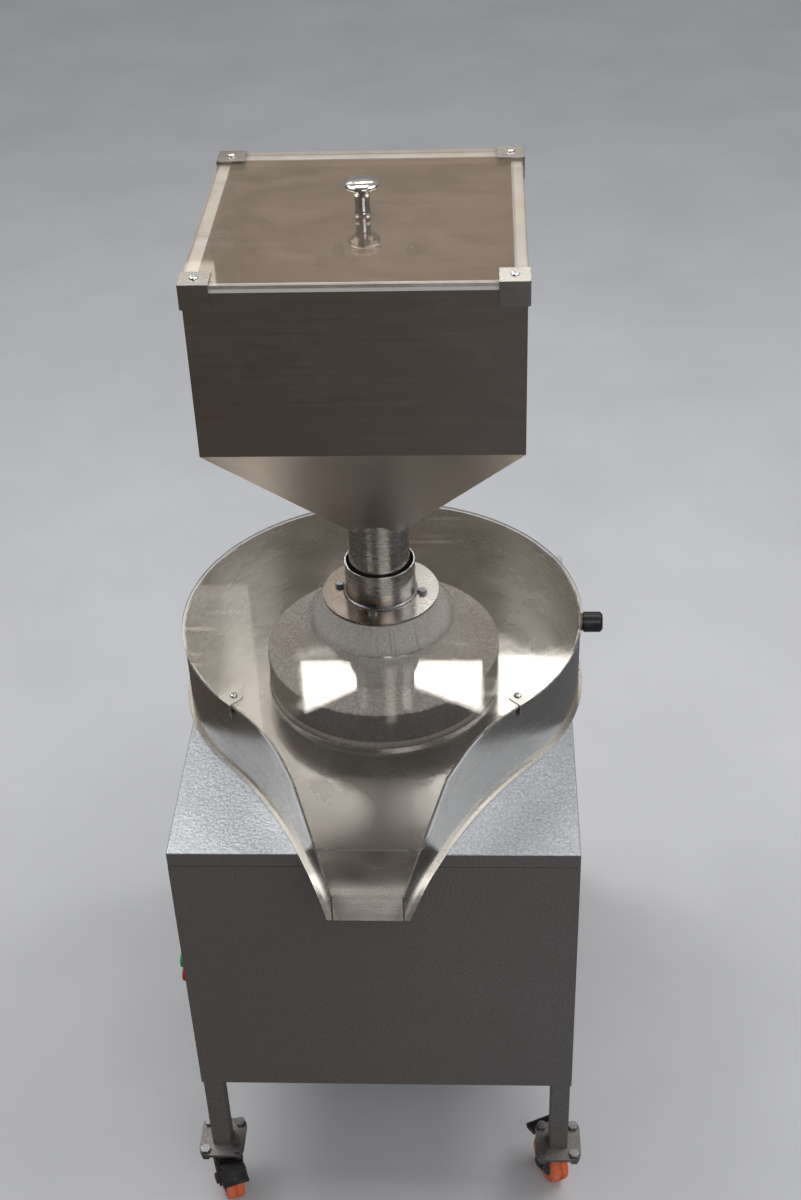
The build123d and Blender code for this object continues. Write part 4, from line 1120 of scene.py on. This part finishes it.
def make_caster(corner):
    """Wheel with a grooved tread and a hub, and the fork's softened shape."""
    place = along_axis(corner + "_wheel_roll")
    radius = 32.5
    half = 14.0
    tread = [
        (20.0, -half + 2.4), (29.6, -half + 2.4), (31.2, -half + 3.6), (32.2, -half + 5.6), (radius, -half + 8.0),
        (radius, -2.2), (32.0, -1.6), (30.4, -1.4), (30.4, 1.4), (32.0, 1.6), (radius, 2.2),
        (radius, half - 8.0), (32.2, half - 5.6), (31.2, half - 3.6), (29.6, half - 2.4), (20.0, half - 2.4),
    ]
    hub = [
        (4.05, -half), (8.6, -half), (9.6, -half + 0.8), (11.0, -half + 3.4), (18.2, -half + 3.4),
        (19.4, -half + 1.8), (20.4, -half + 1.8), (20.6, -half + 3.0), (20.6, half - 3.0), (20.4, half - 1.8),
        (19.4, half - 1.8), (18.2, half - 3.4), (11.0, half - 3.4), (9.6, half - 0.8), (8.6, half), (4.05, half),
    ]
    for part, profile, material in (("tread", tread, "orange_tread"), ("hub", hub, "case_plastic")):
        points = [(r * MM, z * MM) for r, z in profile]
        form = moved(lathe(points, 96), place)
        name = corner + "_" + part
        replaced = (corner + "_caster_wheel",) if part == "tread" else ()
        new_piece(name, finished_mesh(form, name, 38.0), material, corner + "_wheel",
                  replaced)
    softened(corner + "_caster_fork", edge=0.0006)


def make_pedal(corner):
    """Ribs across the brake pedal's pad, over its softened shape."""
    softened(corner + "_brake_pedal", edge=0.0008)
    place = along_axis(corner + "_brake_press")
    axis = Vector(JOINTS[corner + "_brake_press"]["axis"])
    trail = axis.cross(Vector((0, 0, 1))).normalized()
    slope = math.atan2(9.1, 18.0)
    form = bmesh.new()
    bmesh.ops.create_cube(form, size=1.0)
    bmesh.ops.scale(form, vec=(30 * MM, 1.4 * MM, 1.6 * MM), verts=form.verts)
    bmesh.ops.bevel(form, geom=form.edges[:], offset=0.4 * MM, segments=2, affect="EDGES")
    heading = math.atan2(axis.y, axis.x)
    places = []
    for i in range(4):
        run = (16.0 + 4.2 * i) * MM
        drop = 2.1 * MM - (run - 13 * MM) * math.tan(slope)
        spot = place.translation + trail * run + Vector((0, 0, drop + 0.2 * MM))
        places.append((spot, (slope, 0, heading)))
    scattered(corner + "_pedal_ribs", finished_mesh(form, "rib", 40.0), places, "black_plastic",
              corner + "_brake")


class MILL_OT_casters(bpy.types.Operator):
    """Makes the four casters with their plates, bolts and brake pedals"""

    bl_idname = "mill.casters"
    bl_label = "Casters"

    def execute(self, context):
        softened("caster_plates", edge=0.0006)
        softened("caster_bolts", edge=0.0005)
        for corner in ("front_left", "front_right", "rear_left", "rear_right"):
            make_caster(corner)
        for corner in ("front_left", "front_right"):
            make_pedal(corner)
        return {"FINISHED"}


# Stage


def stage_sheet(name, corners, material):
    mesh = bpy.data.meshes.new(name)
    mesh.from_pydata(corners, [], [(0, 1, 2, 3)])
    sheet = bpy.data.objects.new(name, mesh)
    bpy.context.scene.collection.objects.link(sheet)
    mesh.materials.append(material)
    return sheet


def mirror_card(name, corners, colour, strength=1.0):
    """A glowing card that only shiny surfaces see, for the room that they mirror."""
    material = bpy.data.materials.new(name)
    material.use_nodes = True
    shader = material.node_tree.nodes["Principled BSDF"]
    shader.inputs["Base Color"].default_value = (0, 0, 0, 1)
    shader.inputs["Emission Color"].default_value = (*colour, 1)
    shader.inputs["Emission Strength"].default_value = strength
    shader.inputs["Roughness"].default_value = 1.0
    card = stage_sheet(name, corners, material)
    card.visible_camera = False
    card.visible_shadow = False
    card.visible_diffuse = False
    return card


def upright(y, x0, x1, z0, z1):
    return [(x0, y, z0), (x1, y, z0), (x1, y, z1), (x0, y, z1)]


def sideways(x, y0, y1, z0, z1):
    return [(x, y0, z0), (x, y1, z0), (x, y1, z1), (x, y0, z1)]


def level(z, x0, x1, y0, y1):
    return [(x0, y0, z), (x1, y0, z), (x1, y1, z), (x0, y1, z)]


def mirrored_room():
    """The room round the mill as its steel and its clear sheets mirror it."""
    side, front, back, tall = 2.8, -3.6, 2.6, 3.5
    warm = (0.20, 0.17, 0.145)
    brown = (0.36, 0.31, 0.26)
    mirror_card("room_front", upright(front, -side, side, 0.0, tall), warm, 0.45)
    mirror_card("room_back", upright(back, -side, side, 0.0, 2.2), (0.30, 0.30, 0.31), 0.75)
    mirror_card("room_back_high", upright(back, -side, side, 2.2, tall), brown, 1.1)
    mirror_card("room_left", sideways(-side, front, back, 0.0, tall), warm, 0.5)
    mirror_card("room_right", sideways(side, front, back, 0.0, tall), (0.17, 0.18, 0.21), 0.7)
    mirror_card("room_ceiling_front", level(tall, -side, side, front, 0.3), warm, 0.6)
    mirror_card("room_ceiling_back", level(tall, -side, side, 0.3, back), brown, 1.0)
    mirror_card("room_floor_left", level(0.003, -side, 0.0, front, back), warm, 0.4)
    mirror_card("room_floor_right", level(0.003, 0.0, side, front, back), (0.17, 0.17, 0.18), 0.75)
    glass = (1.0, 0.99, 0.97)
    mirror_card("window_left", upright(back - 0.1, -0.45, 0.12, 2.76, 2.98), glass, 9.0)
    mirror_card("window_right", upright(back - 0.1, 0.17, 0.42, 2.74, 2.98), glass, 9.0)
    mirror_card("window_side", upright(back - 0.05, -1.5, -0.6, 2.5, 3.2), (1.0, 0.94, 0.86), 1.5)
    mirror_card("skylight", level(tall - 0.05, -0.7, 0.5, 0.5, 1.8), (1.0, 0.93, 0.82), 3.0)


def lamp(name, spot, aim, size, power, colour=(1, 1, 1)):
    data = bpy.data.lights.new(name, "AREA")
    data.shape = "RECTANGLE"
    data.size, data.size_y = size
    data.energy = power
    data.color = colour
    light = bpy.data.objects.new(name, data)
    light.location = spot
    light.rotation_euler = (Vector(aim) - Vector(spot)).to_track_quat("-Z", "Y").to_euler()
    bpy.context.scene.collection.objects.link(light)


def make_camera():
    """The camera at the photograph's place, turn and lens."""
    right = Vector((0.99874219, 0.03845677, -0.03217315))
    down = Vector((-0.003149, -0.59228859, -0.80571975))
    forward = Vector((-0.05004116, 0.80480762, -0.59142251))
    spot = Vector((0.13143, -1.7264, 2.03187)) + Vector((SPINDLE.x, SPINDLE.y, 0))
    data = bpy.data.cameras.new("camera")
    data.sensor_fit = "VERTICAL"
    data.sensor_height = 36.0
    data.lens = 1698.97 / 1200.0 * 36.0
    data.clip_end = 60.0
    camera = bpy.data.objects.new("camera", data)
    turn = Matrix((right, -down, -forward)).transposed().to_4x4()
    camera.matrix_world = Matrix.Translation(spot) @ turn
    bpy.context.scene.collection.objects.link(camera)
    bpy.context.scene.camera = camera


class MILL_OT_stage(bpy.types.Operator):
    """Makes the floor, the room that shiny surfaces mirror, the lamps, the world and the camera"""

    bl_idname = "mill.stage"
    bl_label = "Stage"

    def execute(self, context):
        ground = Finish("pale_floor", Roughness=0.85, Specular_IOR_Level=0.2)
        tone = tuple(colours().floor)
        ground.colour(ground.ramp(ground.noise(2.5, 6.0), (0.3, shade(tone, 0.94)), (0.7, shade(tone, 1.05))))
        far = 9.0
        stage_sheet("floor", [(-far, -far, 0), (far, -far, 0), (far, far, 0), (-far, far, 0)], ground.material)
        mirrored_room()
        lamp("key", (-1.3, 0.5, 3.3), (0, 0, 0.7), (1.8, 1.8), 42.0)
        lamp("side", (1.5, 0.3, 3.2), (0, 0, 0.7), (1.8, 1.8), 38.0)
        lamp("fill", (1.0, -2.4, 2.6), (0, 0, 0.6), (1.6, 1.6), 16.0)
        world = bpy.data.worlds.new("world")
        world.use_nodes = True
        world.node_tree.nodes["Background"].inputs["Color"].default_value = (0.80, 0.82, 0.86, 1)
        world.node_tree.nodes["Background"].inputs["Strength"].default_value = 0.45
        context.scene.world = world
        context.scene.view_settings.view_transform = "Standard"
        make_camera()
        return {"FINISHED"}


# Sidebar and registration

OPERATORS = (
    MILL_OT_stage,
    MILL_OT_stones,
    MILL_OT_bowl,
    MILL_OT_cover,
    MILL_OT_feed,
    MILL_OT_hopper,
    MILL_OT_cabinet,
    MILL_OT_drive,
    MILL_OT_casters,
)


class MILL_PT_sidebar(bpy.types.Panel):
    bl_idname = "MILL_PT_sidebar"
    bl_label = "Stone mill"
    bl_space_type = "VIEW_3D"
    bl_region_type = "UI"
    bl_category = "Stone mill"

    def draw(self, context):
        column = self.layout.column()
        for operator in OPERATORS:
            column.operator(operator.bl_idname)
        for group in (context.scene.mill_sizes, context.scene.mill_colours):
            for name in group.__annotations__:
                column.prop(group, name)


CLASSES = (MillSizes, MillColours, *OPERATORS, MILL_PT_sidebar)


def register():
    for item in CLASSES:
        bpy.utils.register_class(item)
    bpy.types.Scene.mill_sizes = PointerProperty(type=MillSizes)
    bpy.types.Scene.mill_colours = PointerProperty(type=MillColours)


def unregister():
    del bpy.types.Scene.mill_colours
    del bpy.types.Scene.mill_sizes
    for item in reversed(CLASSES):
        bpy.utils.unregister_class(item)


def main():
    register()
    for operator in OPERATORS:
        group, name = operator.bl_idname.split(".")
        getattr(getattr(bpy.ops, group), name)()


if __name__ == "__main__":
    main()
